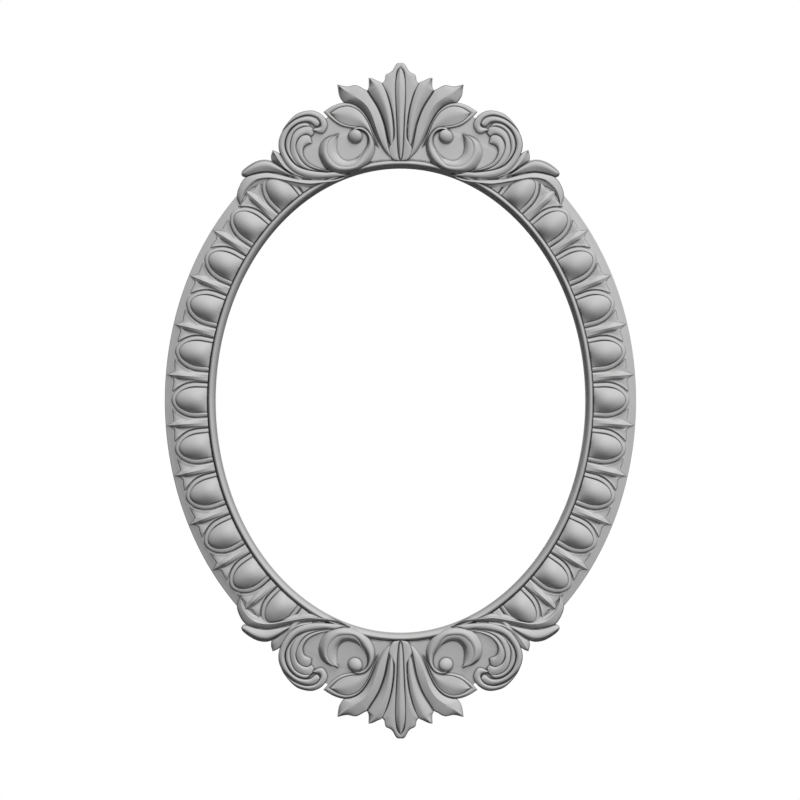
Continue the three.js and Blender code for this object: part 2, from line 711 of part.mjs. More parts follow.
// Dowels: two pin each crest board to the ring.
const dowelMiddle = outerHalfHeight * Math.sqrt(1 - (DOWEL_SPREAD / outerHalfWidth) ** 2);
const dowelBar = (side, end, grow) =>
  bar(
    at(side * DOWEL_SPREAD, DOWEL_DEPTH, end * (dowelMiddle - DOWEL_LENGTH / 2 - grow)),
    at(side * DOWEL_SPREAD, DOWEL_DEPTH, end * (dowelMiddle + DOWEL_LENGTH / 2 + grow)),
    DOWEL_RADIUS + grow,
    8,
  );
const dowelPlaces = [[-1, 1], [1, 1], [-1, -1], [1, -1]];
const dowelBores = dowelPlaces.map(([side, end]) => solidOf(dowelBar(side, end, CLEARANCE)));

// The rails.
const railProfile = [
  [REBATE_LIP, 0],
  [FACE_AT_SIDES, 0],
  [FACE_AT_SIDES, ground - EDGE_BEVEL],
  [FACE_AT_SIDES - EDGE_BEVEL, ground],
  [channelOuter, ground],
  [channelOuter, channelFloor],
  [channelInner, channelFloor],
  ...beadLine(0).toReversed(),
  [0, REBATE_DEPTH],
  [REBATE_LIP, REBATE_DEPTH],
];
quarters.forEach((name, i) => {
  const from = (i * Math.PI) / 2;
  const rail = solidOf(sweptRing(railProfile, from, from + Math.PI / 2, RAIL_STEPS));
  const cuts = [...tongueSlots, ...dowelBores, ...screwBores];
  addPiece("rail_" + name, geometryOf(cut(rail, cuts)), painted);
});
tongues.forEach((name, i) => addPiece("tongue_" + name, tongueBox(i, 0), bareWood));
dowelPlaces.forEach(([side, end]) => {
  const name = (end > 0 ? "top" : "bottom") + (side < 0 ? "_left" : "_right");
  addPiece("dowel_" + name, dowelBar(side, end, 0), bareWood);
});

// The carvings of one quarter, each cut away where the next one laps over it.
const facet = Math.PI / 2 / RAIL_STEPS;
const beadRoom = solidOf(
  sweptRing(beadRoomProfile, Math.PI / 2 - facet, Math.PI - facet, RAIL_STEPS),
);
function onLeft(shape) {
  const flip = (points) => points && points.map(([x, z]) => [-x, z]);
  return { ...shape, left: flip(shape.left), right: flip(shape.right), ridge: flip(shape.ridge) };
}
const solidsOf = (bands) => bands.map((band) => solidOf(carvedBand(onLeft(band))));
const roomsOf = (bands) => bands.map((band) => solidOf(bandRoom(onLeft(band))));

// The ball at the C-scroll's eye, and the room it takes.
function eyeLathe(profile) {
  const corners = profile.map(([radius, rise]) => new THREE.Vector2(radius, rise));
  const { x, z } = drawnPoint(scrollEye);
  return new THREE.LatheGeometry(corners, EYE_SIDES).rotateX(Math.PI).translate(-x, -ground, z);
}
const eyeFoot = EYE_RADIUS + CARVING_DRAFT;
const eyeDome = [0, 0.3, 0.6, 0.85, 1].map((turn) => {
  const angle = (turn * Math.PI) / 2;
  return [EYE_RADIUS * Math.cos(angle), mix(EYE_RISE * 0.45, EYE_RISE, Math.sin(angle))];
});
eyeDome[eyeDome.length - 1][0] = 0;
const eyeSolid = solidOf(eyeLathe([[0, 0], [eyeFoot, 0], ...eyeDome]));
const eyeReach = eyeFoot + CLEARANCE;
const eyeRoom = solidOf(
  eyeLathe([[0, -1], [eyeReach, -1], [eyeReach, aboveCarvings], [0, aboveCarvings]]),
);

const palmetteRooms = roomsOf(palmetteBands);
const scrollRooms = [...roomsOf(scrollBands), eyeRoom];
const featherRooms = roomsOf(featherBands);
const sprayRooms = roomsOf(sprayBands);

const halfPalmette = cut(joined(solidsOf(palmetteBands)), [beadRoom]);
const otherHalf = solidOf(mirrored(geometryOf(halfPalmette), -1, 1));
const palmette = cut(halfPalmette.add(otherHalf), [solidOf(bandRoom(onLeft(ribBand), RIB_SEAT))]);
const rib = cut(solidOf(carvedBand(onLeft(ribBand), RIB_SEAT + CLEARANCE)), [beadRoom]);
const quarterCarvings = [
  ["calyx_leaf", cut(joined(solidsOf(calyxBands)), [...palmetteRooms, ...scrollRooms])],
  [
    "c_scroll",
    cut(joined([...solidsOf(scrollBands), eyeSolid]), [...featherRooms, ...palmetteRooms, beadRoom]),
  ],
  ["feather_scroll", cut(joined(solidsOf(featherBands)), [beadRoom])],
  ["spray_leaf", cut(joined(solidsOf(sprayBands)), [...featherRooms, beadRoom])],
];

// The crest board: the crest's outline above, and below it the ring's outer edge, facet for facet.
function crestBoard() {
  const half = boardEdge.map(drawnPoint).map(({ x, z }) => [x, z]);
  const footAngle = Math.acos(BOARD_FOOT_SHARE);
  const facets = Array.from({ length: 2 * RAIL_STEPS }, (_, i) => (i * Math.PI) / 2 / RAIL_STEPS);
  const footAngles = facets.filter((angle) => angle > footAngle && angle < Math.PI - footAngle);
  const foot = [footAngle, ...footAngles, Math.PI - footAngle].map((angle) =>
    ringPoint(angle, FACE_AT_SIDES + CLEARANCE),
  );
  const otherHalf = half.slice(1).map(([x, z]) => [-x, z]);
  const outline = [...otherHalf.toReversed(), ...half, ...foot];
  const layer = (depth) => outline.map(([x, z]) => at(x, depth, z));
  return loft([layer(ground - CREST_BOARD_THICKNESS), layer(ground)]);
}
const board = cut(solidOf(crestBoard()), dowelBores);

for (const [end, sideZ] of [["top", 1], ["bottom", -1]]) {
  const place = (name, solid, sideX = 1) =>
    addPiece(name, mirrored(geometryOf(solid), sideX, sideZ), painted);
  place(end + "_crest_board", board);
  place(end + "_palmette", palmette);
  place(end + "_palmette_rib", rib);
  for (const [side, sideX] of [["left", 1], ["right", -1]]) {
    for (const [piece, solid] of quarterCarvings) place([end, piece, side].join("_"), solid, sideX);
  }
}

// The egg and dart runs: a base let into the channel, with the eggs and darts standing on it.
const baseProfile = [
  [channelInner + CLEARANCE, channelFloor + CLEARANCE],
  [channelOuter - CLEARANCE, channelFloor + CLEARANCE],
  [channelOuter - CLEARANCE, ground],
  [channelInner + CLEARANCE, ground],
];
const pitch = edgeLength / EGGS_IN_RING;
const lapping = [...sprayBands, ...featherBands].map((band) => bandRoom(onLeft(band), -RUN_ROOT - 1));
const lappingRooms = lapping.flatMap((room) => [room, mirrored(room, 1, -1)]).map(solidOf);
const reach = (EGGS_EACH_SIDE - 1) / 2;
const base = solidOf(sweptRing(baseProfile, Math.PI / 2, Math.PI * 1.5, 2 * RAIL_STEPS));
const ornaments = [];
for (let i = -reach; i <= reach; i++) ornaments.push(eggAndShell(i * pitch));
for (let i = -reach - 0.5; i <= reach + 0.5; i++) ornaments.push(dart(i * pitch));
const leftRun = joined([base, cut(joined(ornaments), lappingRooms)]);
addPiece("egg_and_dart_left", geometryOf(leftRun), painted);
addPiece("egg_and_dart_right", mirrored(geometryOf(leftRun), -1, 1), painted);

// Screws, their heads on what they hold.
function screw(x, z, seat) {
  const profile = [
    [0, -SCREW_LENGTH],
    [SCREW_RADIUS, -SCREW_LENGTH + SCREW_POINT],
    [SCREW_RADIUS, seat],
    [SCREW_HEAD_RADIUS, seat],
    [SCREW_HEAD_RADIUS, seat + SCREW_HEAD_RISE * 0.5],
    [SCREW_HEAD_RADIUS * 0.6, seat + SCREW_HEAD_RISE],
    [0, seat + SCREW_HEAD_RISE],
  ].map(([radius, rise]) => new THREE.Vector2(radius, rise));
  return new THREE.LatheGeometry(profile, 8).translate(x, 0, z);
}

// A flat plate with round ends and a bore, cut from its outline.
function slottedPlate(length, width, thickness, holes) {
  const radius = width / 2;
  const shape = new THREE.Shape();
  shape.absarc(length / 2 - radius, 0, radius, -Math.PI / 2, Math.PI / 2);
  shape.absarc(-length / 2 + radius, 0, radius, Math.PI / 2, Math.PI * 1.5);
  for (const [place, size] of holes) {
    const hole = new THREE.Path();
    hole.absarc(place, 0, size, 0, Math.PI * 2, true);
    shape.holes.push(hole);
  }
  return new THREE.ExtrudeGeometry(shape, { depth: thickness, bevelEnabled: false, curveSegments: 4 });
}

for (const { name, way, x, z } of buttonPlaces) {
  const plate = slottedPlate(BUTTON_LENGTH, BUTTON_WIDTH, BUTTON_THICKNESS, [
    [BUTTON_LENGTH / 2 - BUTTON_WIDTH / 2, SCREW_RADIUS + CLEARANCE],
  ]);
  plate.translate(-(BUTTON_LENGTH - BUTTON_WIDTH) / 2, 0, 0);
  plate.rotateX(-Math.PI / 2);
  plate.rotateY(-Math.atan2(way[1], way[0]));
  plate.translate(x, CLEARANCE, z);
  addPiece("turn_button_" + name, tidyGeometry(plate), brass);
  addPiece("button_screw_" + name, tidyGeometry(screw(x, z, BUTTON_THICKNESS + 2 * CLEARANCE)), steel);
}

// The hanger: a plate under two screws, a knuckle along its top edge, and the ring that turns in it.
const knuckleRadius = RING_WIRE / 2 + CLEARANCE + KNUCKLE_WALL;
const plateSolid = solidOf(
  slottedPlate(HANGER_WIDTH, HANGER_HEIGHT, HANGER_THICKNESS, [
    [-HANGER_SCREW_SPREAD, SCREW_RADIUS + CLEARANCE],
    [HANGER_SCREW_SPREAD, SCREW_RADIUS + CLEARANCE],
  ])
    .rotateX(-Math.PI / 2)
    .translate(0, CLEARANCE, hangerLine - HANGER_HEIGHT / 2),
);
const knuckleEnds = [-KNUCKLE_WIDTH / 2, KNUCKLE_WIDTH / 2];
const knuckleBar = (radius, past) =>
  solidOf(
    bar(
      at(knuckleEnds[0] - past, wireDepth, hangerLine),
      at(knuckleEnds[1] + past, wireDepth, hangerLine),
      radius,
    ),
  );
const hanger = cut(plateSolid.add(knuckleBar(knuckleRadius, 0)), [
  knuckleBar(RING_WIRE / 2 + CLEARANCE, 5),
]);
addPiece("hanger_plate", geometryOf(hanger), steel);
for (const { name, x, z } of hangerScrews) {
  const seat = HANGER_THICKNESS + 2 * CLEARANCE;
  addPiece("hanger_screw_" + name, tidyGeometry(screw(x, z, seat)), steel);
}

// A closed ring of wire through the knuckle: a straight bar below and an arc above.
function wireRing() {
  const sides = 6;
  const half = (RING_WIDTH - RING_WIRE) / 2;
  const rise = RING_HEIGHT - RING_WIRE / 2 - RING_CORNER;
  const arc = (centre, wide, high, turns) =>
    turns.map((turn) => {
      const angle = degrees(turn);
      return [centre + wide * Math.cos(angle), RING_CORNER + high * Math.sin(angle)];
    });
  const line = [
    ...arc(half - RING_CORNER, RING_CORNER, RING_CORNER, [-90, -45]),
    ...arc(0, half, rise, [0, 30, 60, 90, 120, 150, 180]),
    ...arc(RING_CORNER - half, RING_CORNER, RING_CORNER, [225, 270]),
  ];
  const outlines = line.map(([x, z], i) => {
    const [px, pz] = line[(i + line.length - 1) % line.length];
    const [nx, nz] = line[(i + 1) % line.length];
    const size = Math.hypot(nx - px, nz - pz);
    const [ox, oz] = [(nz - pz) / size, -(nx - px) / size];
    return Array.from({ length: sides }, (_, j) => {
      const turn = (j / sides) * Math.PI * 2;
      const reachOut = (RING_WIRE / 2) * Math.cos(turn);
      return at(
        x + ox * reachOut,
        wireDepth + (RING_WIRE / 2) * Math.sin(turn),
        hangerLine + z + oz * reachOut,
      );
    });
  });
  return loft(outlines, { closed: true });
}
addPiece("hanger_ring", wireRing(), steel);

// Two bumpers at the bottom stand as far off the back as the hanger does.
const bumperThickness = knuckleRadius - wireDepth;
for (const [name, side] of [["left", -1], ["right", 1]]) {
  const [x, z] = ringPoint(degrees(-90 + side * BUMPER_ANGLE), FACE_AT_SIDES / 2);
  addPiece("bumper_" + name, bar(at(x, 0, z), at(x, -bumperThickness, z), BUMPER_RADIUS, 16), felt);
}

export default frame;
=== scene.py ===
# %% [markdown]
# # A carved oval picture frame in grey paint
# A frame of this kind is a wooden ring with a rebate behind it for the glass, and its front is carved
# or carries carvings glued on. This lesson builds every surface that shows as a mesh in code: the
# moulded ring, the egg and dart run, the two leafy crests, and the small brass and steel pieces on
# the back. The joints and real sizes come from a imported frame, and each new piece stands for one of
# its nodes, so nothing has to be fitted afterwards.

# %% Load the frame
import math

import bmesh
import bpy
import numpy as np
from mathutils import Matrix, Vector
from mathutils.geometry import delaunay_2d_cdt


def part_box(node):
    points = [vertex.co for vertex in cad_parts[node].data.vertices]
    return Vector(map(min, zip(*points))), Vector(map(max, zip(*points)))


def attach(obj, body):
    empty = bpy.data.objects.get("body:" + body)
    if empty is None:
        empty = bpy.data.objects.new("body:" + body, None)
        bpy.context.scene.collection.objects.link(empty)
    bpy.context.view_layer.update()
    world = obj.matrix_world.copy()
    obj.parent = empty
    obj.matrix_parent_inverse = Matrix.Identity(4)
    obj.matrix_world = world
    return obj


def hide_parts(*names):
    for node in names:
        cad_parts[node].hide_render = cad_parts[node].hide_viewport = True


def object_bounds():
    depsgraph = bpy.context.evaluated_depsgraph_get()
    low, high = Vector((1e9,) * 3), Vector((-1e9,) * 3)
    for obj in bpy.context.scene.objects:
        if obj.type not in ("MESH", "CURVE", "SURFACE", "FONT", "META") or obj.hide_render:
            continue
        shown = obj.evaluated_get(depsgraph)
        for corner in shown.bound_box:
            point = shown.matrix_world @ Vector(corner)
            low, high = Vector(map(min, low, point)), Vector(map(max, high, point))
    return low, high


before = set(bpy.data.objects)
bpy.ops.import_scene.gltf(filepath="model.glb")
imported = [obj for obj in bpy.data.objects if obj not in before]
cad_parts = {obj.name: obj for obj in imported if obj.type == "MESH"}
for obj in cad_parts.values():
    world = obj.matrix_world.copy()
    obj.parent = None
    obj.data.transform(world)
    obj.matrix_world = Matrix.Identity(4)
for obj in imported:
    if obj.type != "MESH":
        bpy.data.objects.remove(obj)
cad_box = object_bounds()
print(len(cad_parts), "nodes in the frame")

# %% [markdown]
# ## Where things are
# A carver thinks in millimetres on the face of the frame: so far out from the centre line, so far up
# from the middle of the oval, and so far proud of the flat face. One small function turns such a
# place into metres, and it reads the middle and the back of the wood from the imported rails.

# %% The carver's millimetres
MM = 0.001
SIGHT = (199.5, 250.5)
FACE = (55.0, 57.4)
WOOD_THICKNESS = 19.0

rail_low, rail_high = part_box("rail_upper_left")
middle_z = rail_low.z
back_y = rail_high.y
face_y = back_y - WOOD_THICKNESS * MM


def placed(points):
    """Points of [across, proud of the face, up], in millimetres, as metres in the frame."""
    across, proud, up = np.moveaxis(np.asarray(points, float) * MM, -1, 0)
    return points_of(across, face_y - proud, middle_z + up)


def points_of(across, proud, up):
    """Points of [across, proud of the face, up] from a line or one number for each."""
    return np.stack(np.broadcast_arrays(across, proud, up), -1)


def unit(ways):
    """The same directions with a length of 1."""
    return ways / np.maximum(np.linalg.norm(ways, axis=-1, keepdims=True), 1e-9)


def ring_place(angle, out):
    """The place on the face at an angle round the oval, a distance out from the opening's edge."""
    across = (SIGHT[0] + out) * np.cos(angle)
    up = (SIGHT[1] + out * FACE[1] / FACE[0]) * np.sin(angle)
    return across, up


print("the wood is", round((back_y - face_y) / MM, 1), "mm thick")

# %% [markdown]
# ## Skins
# Nearly all of the frame is made by one operation: a closed section is carried along and the sections
# are joined by quads, which a modeller calls lofting or skinning. It fits carved work, because a
# chisel also runs along a line while its section slowly changes. A piece is a list of such skins, and
# skins that lap into one another leave the crisp crease that a carver cuts between two leaves.

# %% Joining sections into a skin
def joined(sections, closed=False):
    """The points of some sections, and quads between them, with a cap at each end of an open skin."""
    rings, count = sections.shape[:2]
    faces = []
    for i in range(rings if closed else rings - 1):
        here, beyond = i * count, (i + 1) % rings * count
        for j in range(count):
            k = (j + 1) % count
            faces.append((here + j, here + k, beyond + k, beyond + j))
    if not closed:
        faces.append(tuple(range(count)))
        faces.append(tuple(range(rings * count - 1, (rings - 1) * count - 1, -1)))
    return sections.reshape(-1, 3), faces


def mesh_from(name, skins, sharp=34):
    """One mesh object from skins, with hard edges kept where they turn."""
    points, faces = [], []
    for skin_points, skin_faces in skins:
        faces += [tuple(len(points) + corner for corner in face) for face in skin_faces]
        points += list(placed(skin_points))
    mesh = bpy.data.meshes.new(name)
    mesh.from_pydata(points, [], faces)
    work = bmesh.new()
    work.from_mesh(mesh)
    bmesh.ops.remove_doubles(work, verts=work.verts, dist=0.004 * MM)
    bmesh.ops.recalc_face_normals(work, faces=work.faces)
    work.to_mesh(mesh)
    work.free()
    mesh.shade_smooth()
    mesh.set_sharp_from_angle(angle=math.radians(sharp))
    piece = bpy.data.objects.new(name, mesh)
    bpy.context.scene.collection.objects.link(piece)
    return piece


def flipped(skins, across=1, up=1):
    """The same skins on the other side of the centre lines."""
    return [(points * (across, 1, up), faces) for points, faces in skins]


# %% [markdown]
# ## Surface effects that several finishes share
# Three node groups are built once and placed in each material with their own values. Tooled grain
# gives a fine uneven height and a soft blotchy mask, as a hand-rubbed coat has. Worn edges and painted
# shade gives a mask of the proud edges that a duster rubs, from how sharply the mesh turns, and a mask
# of the cuts, from how shut in a point is, where the colour is darkened as painted shade. The third
# group paints shade on steep walls too, and lets it fade towards the back.

# %% Helpers for nodes
def feed(tree, value, socket):
    """Gives a socket another node's output, a colour or a number."""
    if isinstance(value, bpy.types.NodeSocket):
        tree.links.new(value, socket)
    elif socket.type == "RGBA":
        socket.default_value = (*value, 1)
    else:
        socket.default_value = value


def add_node(tree, kind, inputs=None, **settings):
    """A node with its settings, and its inputs by their names or numbers."""
    made = tree.nodes.new(kind)
    for key, value in settings.items():
        setattr(made, key, value)
    for label, value in (inputs or {}).items():
        feed(tree, value, made.inputs[label])
    return made


def new_group(name, inputs, outputs):
    """A shader node group with named number inputs and outputs."""
    tree = bpy.data.node_groups.new(name, "ShaderNodeTree")
    for label, value in inputs.items():
        socket = tree.interface.new_socket(label, in_out="INPUT", socket_type="NodeSocketFloat")
        socket.default_value = value
    for label in outputs:
        tree.interface.new_socket(label, in_out="OUTPUT", socket_type="NodeSocketFloat")
    return tree, tree.nodes.new("NodeGroupInput").outputs, tree.nodes.new("NodeGroupOutput").inputs


def ranged(tree, source, low, high, to_low=0.0, to_high=1.0):
    """A value stretched from one range to another."""
    inputs = {"Value": source, "From Min": low, "From Max": high, "To Min": to_low, "To Max": to_high}
    return add_node(tree, "ShaderNodeMapRange", inputs, clamp=True).outputs["Result"]


def calculated(tree, operation, first, second=0.0):
    return add_node(tree, "ShaderNodeMath", {0: first, 1: second}, operation=operation).outputs[0]


def noise(tree, scale, detail=2.0, distortion=0.0, stretch=None):
    """A noise over the object's own coordinates, which may be stretched first."""
    place = add_node(tree, "ShaderNodeTexCoord").outputs["Object"]
    if stretch:
        place = add_node(tree, "ShaderNodeMapping", {"Vector": place, "Scale": stretch}).outputs[0]
    inputs = {"Vector": place, "Scale": scale, "Detail": detail, "Distortion": distortion}
    return add_node(tree, "ShaderNodeTexNoise", inputs).outputs["Fac"]


# %% The tooled grain
def tooled_grain():
    sizes = {"Grain size": 900.0, "Blotch size": 22.0}
    tree, given, result = new_group("Tooled grain", sizes, ["Height", "Blotch"])
    feed(tree, noise(tree, given["Grain size"], detail=3), result["Height"])
    blotch = noise(tree, given["Blotch size"], detail=5)
    feed(tree, ranged(tree, blotch, 0.32, 0.68), result["Blotch"])
    return tree


# %% The worn edges and the painted shade in the cuts
def worn_edges_and_painted_shade():
    sizes = {"Break up": 120.0, "Reach": 0.003}
    tree, given, result = new_group("Worn edges and painted shade", sizes, ["Edge", "Painted shade"])
    turn = add_node(tree, "ShaderNodeNewGeometry").outputs["Pointiness"]
    patchy = ranged(tree, noise(tree, given["Break up"]), 0.35, 0.65)
    edge = calculated(tree, "MULTIPLY", ranged(tree, turn, 0.52, 0.60), patchy)
    feed(tree, edge, result["Edge"])
    # The occlusion mask paints shade into the colour: it darkens creases and cuts as shade would.
    shut_in = add_node(tree, "ShaderNodeAmbientOcclusion", {"Distance": given["Reach"]}, samples=8)
    feed(tree, ranged(tree, shut_in.outputs["AO"], 0.88, 0.4), result["Painted shade"])
    return tree


# %% The painted shade on steep walls
def painted_shade_on_walls():
    # Paints shade on steep walls: faces turned sideways to the front get a dark colour that fades
    # towards the back.
    tree, given, result = new_group("Painted shade on walls", {"Reaches back": 0.006}, ["Wall"])
    place = add_node(tree, "ShaderNodeTexCoord").outputs
    facing = add_node(tree, "ShaderNodeSeparateXYZ", {0: place["Normal"]}).outputs["Y"]
    depth = add_node(tree, "ShaderNodeSeparateXYZ", {0: place["Object"]}).outputs["Y"]
    steep = ranged(tree, calculated(tree, "ABSOLUTE", facing), 0.52, 0.2)
    behind = calculated(tree, "SUBTRACT", depth, face_y)
    fading = ranged(tree, calculated(tree, "DIVIDE", behind, given["Reaches back"]), 0, 1, 1, 0)
    feed(tree, calculated(tree, "MULTIPLY", steep, fading), result["Wall"])
    return tree


GRAIN, WEAR_AND_SHADE, PAINTED_WALL_SHADE = tooled_grain(), worn_edges_and_painted_shade(), painted_shade_on_walls()
print("node groups:", [group.name for group in bpy.data.node_groups])


# %% [markdown]
# ## Finishes
# A finish is a Principled surface whose colour and roughness are mixed from the shared masks. Each
# material keeps its own shader and its own fixed numbers on the shader's sockets, so that another
# program can read them. Three colours are enough for most finishes: the plain one, a painted shade
# in the cuts, and the one on worn edges. Only the paint has painted shade on its walls too.

# %% Building a finish
BUMP_DEPTH = 0.1 * MM


def mixed(tree, mask, first, second):
    """A colour that goes from the first to the second where the mask is 1."""
    made = add_node(tree, "ShaderNodeMix", {"Factor": mask}, data_type="RGBA")
    for label, value in (("A", first), ("B", second)):
        feed(tree, value, next(s for s in made.inputs if s.name == label and s.type == "RGBA"))
    return next(s for s in made.outputs if s.type == "RGBA")


def finish_material(name, plain, blotched, painted_shade, worn, roughness, rougher, grain, blotch, bump,
                    metallic=0.0, specular=0.5, pattern=None, wall_shade=None):
    """A painted, metal or felt surface. The pattern, if any, adds its own height and mask."""
    material = bpy.data.materials.new(name)
    material.use_nodes = True
    tree = material.node_tree
    sizes = {"Grain size": grain, "Blotch size": blotch}
    grained = add_node(tree, "ShaderNodeGroup", sizes, node_tree=GRAIN).outputs
    worn_and_shaded = add_node(tree, "ShaderNodeGroup", node_tree=WEAR_AND_SHADE).outputs
    colour = mixed(tree, grained["Blotch"], plain, blotched)
    height = grained["Height"]
    if pattern:
        mask, dark = pattern(tree)
        colour = mixed(tree, mask, colour, dark)
        height = calculated(tree, "ADD", height, mask)
    # Painted shade: the cuts take the dark colour where the occlusion mask is high.
    colour = mixed(tree, worn_and_shaded["Painted shade"], colour, painted_shade)
    colour = mixed(tree, worn_and_shaded["Edge"], colour, worn)
    # Painted shade on steep walls, for the paint only.
    if wall_shade:
        walls = add_node(tree, "ShaderNodeGroup", node_tree=PAINTED_WALL_SHADE).outputs["Wall"]
        colour = mixed(tree, walls, colour, wall_shade)
    bumped = add_node(
        tree, "ShaderNodeBump", {"Strength": bump, "Distance": BUMP_DEPTH, "Height": height}
    )
    surface = {
        "Base Color": colour,
        "Metallic": metallic,
        "Roughness": ranged(tree, grained["Blotch"], 0, 1, roughness, rougher),
        "Specular IOR Level": specular,
        "Normal": bumped.outputs["Normal"],
    }
    for label, value in surface.items():
        feed(tree, value, tree.nodes["Principled BSDF"].inputs[label])
    return material


# %% [markdown]
# The carvings wear one satin coat of mid grey paint, as smooth as primer, with hardly any colour
# change: a shade lighter where edges are worn, and painted shade in the cuts and on steep walls. The
# back of the wood was never painted, so it shows beech with long growth bands. Stretching a wave
# along the rail's length by a mapping gives such bands without any image.

# %% Paint and bare wood
def wood_bands(tree):
    """Long uneven growth bands across the wood, and the dark colour between them."""
    bands = noise(tree, 3.2, detail=8, distortion=0.6, stretch=(60, 60, 7))
    return ranged(tree, bands, 0.42, 0.62), (0.27, 0.145, 0.06)


# The dark colours for the cuts and for the steep walls are painted shade.
paint = finish_material(
    "Grey satin paint", plain=(0.47, 0.47, 0.468), blotched=(0.455, 0.455, 0.453),
    painted_shade=(0.09, 0.09, 0.09), worn=(0.5, 0.5, 0.498), roughness=0.55, rougher=0.62,
    specular=0.1, grain=1400, blotch=26, bump=0.12, wall_shade=(0.1, 0.1, 0.1),
)
# Its dark colour for the cuts is painted shade too.
bare_wood = finish_material(
    "Bare beech", plain=(0.46, 0.29, 0.14), blotched=(0.42, 0.255, 0.115), painted_shade=(0.25, 0.14, 0.06),
    worn=(0.52, 0.35, 0.19), roughness=0.66, rougher=0.8, grain=2600, blotch=9, bump=0.5,
    pattern=wood_bands,
)
print("finishes:", paint.name, "and", bare_wood.name)


# %% [markdown]
# The turn buttons are stamped from brass and have dulled a little. The screws, the hanger and its
# ring are plated steel, drawn or pressed, so a very fine stretched noise stands for the drawing
# marks. The bumpers are wool felt: a tight, fuzzy noise with a strong bump and no shine.

# %% Brass, steel and felt
def drawn_lines(tree):
    """Fine marks left by pressing and drawing."""
    return ranged(tree, noise(tree, 1, stretch=(300, 300, 3000)), 0.45, 0.8), (0.30, 0.27, 0.2)


def felt_fibres(tree):
    """Short crossed fibres, from a noise that is strongly bent."""
    return ranged(tree, noise(tree, 1700, distortion=2.5), 0.4, 0.7), (0.02, 0.019, 0.018)


# The dark colours for the cuts on brass, steel and felt are painted shade as well.
brass = finish_material(
    "Stamped brass", plain=(0.60, 0.40, 0.12), blotched=(0.5, 0.32, 0.09), painted_shade=(0.16, 0.1, 0.04),
    worn=(0.75, 0.55, 0.22), roughness=0.3, rougher=0.45, grain=1500, blotch=130, bump=0.1,
    metallic=1.0, pattern=drawn_lines,
)
steel = finish_material(
    "Plated steel", plain=(0.48, 0.50, 0.53), blotched=(0.42, 0.44, 0.46), painted_shade=(0.15, 0.15, 0.15),
    worn=(0.62, 0.64, 0.66), roughness=0.26, rougher=0.4, grain=1500, blotch=160, bump=0.08,
    metallic=1.0, pattern=drawn_lines,
)
felt = finish_material(
    "Wool felt", plain=(0.055, 0.052, 0.05), blotched=(0.045, 0.042, 0.04),
    painted_shade=(0.03, 0.028, 0.027), worn=(0.09, 0.086, 0.083), roughness=0.9, rougher=1.0,
    grain=2500, blotch=400, bump=1.0, pattern=felt_fibres,
)
print("and", brass.name + ",", steel.name, "and", felt.name)


# %% [markdown]
# ## Seating a piece
# Every piece is finished the same way: its skins become a mesh, its material goes on, it rides on the
# body that carries it, and it stands for the node of the same name. The painted pieces get bare wood
# on whatever faces the wall.

# %% Seating
FACING_WALL, UNPAINTED_DEPTH = 0.7, 6.2


def seat(node, skins, material, body="frame", back=None, sharp=34):
    piece = mesh_from(node + "_finished", skins, sharp)
    piece.data.materials.append(material)
    if back:
        piece.data.materials.append(back)
        for face in piece.data.polygons:
            if face.normal.y > FACING_WALL and face.center.y > back_y - UNPAINTED_DEPTH * MM:
                face.material_index = 1
    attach(piece, body)
    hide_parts(node)
    return piece


# %% [markdown]
# ## The ring
# The ring is glued up from four quarter rails and then moulded: a bead runs round the opening, a
# shallow channel takes the carved run, and outside it a band falls away to the edge. Sweeping one
# profile round the ellipse is what the moulding cutter does. The bead's hump is a smooth line through
# a few chosen heights, because a bead scraped by hand isn't a part of a circle.

# %% A smooth line through chosen points
def smooth_line(points, steps=14):
    """A centripetal Catmull-Rom line, which turns through each point without overshooting."""
    given = np.array(points, float)
    if len(given) == 2:
        return np.linspace(given[0], given[1], steps * 4)
    given = np.vstack([2 * given[0] - given[1], given, 2 * given[-1] - given[-2]])
    line = []
    for p0, p1, p2, p3 in zip(given, given[1:], given[2:], given[3:]):
        t1 = np.linalg.norm(p1 - p0) ** 0.5
        t2 = t1 + np.linalg.norm(p2 - p1) ** 0.5
        t3 = t2 + np.linalg.norm(p3 - p2) ** 0.5
        t = np.linspace(t1, t2, steps, endpoint=False)[:, None]
        a1 = p0 + (p1 - p0) * t / t1
        a2 = p1 + (p2 - p1) * (t - t1) / (t2 - t1)
        a3 = p2 + (p3 - p2) * (t - t2) / (t3 - t2)
        b1 = a1 + (a2 - a1) * t / t2
        b2 = a2 + (a3 - a2) * (t - t1) / (t3 - t1)
        line.append(b1 + (b2 - b1) * (t - t1) / (t2 - t1))
    line.append(given[-2:-1])
    return np.vstack(line)


def lengths_along(line):
    return np.concatenate([[0], np.cumsum(np.linalg.norm(np.diff(line, axis=0), axis=1))])


def at_shares(line, shares):
    """The line's points at shares of its length."""
    run = lengths_along(line)
    return np.stack([np.interp(np.asarray(shares) * run[-1], run, line[:, i]) for i in (0, 1)], -1)


# %% The moulding's profile
BEAD_WIDTH = 9.3
BEAD_LINE = [(0, -4), (1, -1.2), (2, 1.1), (3, 3.0), (4, 4.5), (5, 5.5), (6, 5.95), (7, 5.5),
             (8, 4.0), (8.8, 1.9), (BEAD_WIDTH, -0.4)]
CHANNEL_DEPTH, OUTER_BAND = 3.0, 6.9
BAND_START, BAND_SLOPE = 45.0, 0.36
EDGE_ROUND = 1.1
REBATE_LIP, REBATE_DEPTH = 6.0, 11.0
CHANNEL_EDGE = FACE[0] - OUTER_BAND


def outer_band(out):
    """How high the face of the ring lies, which is level at first and then falls evenly."""
    return -np.clip(np.asarray(out) - BAND_START, 0, None) * BAND_SLOPE


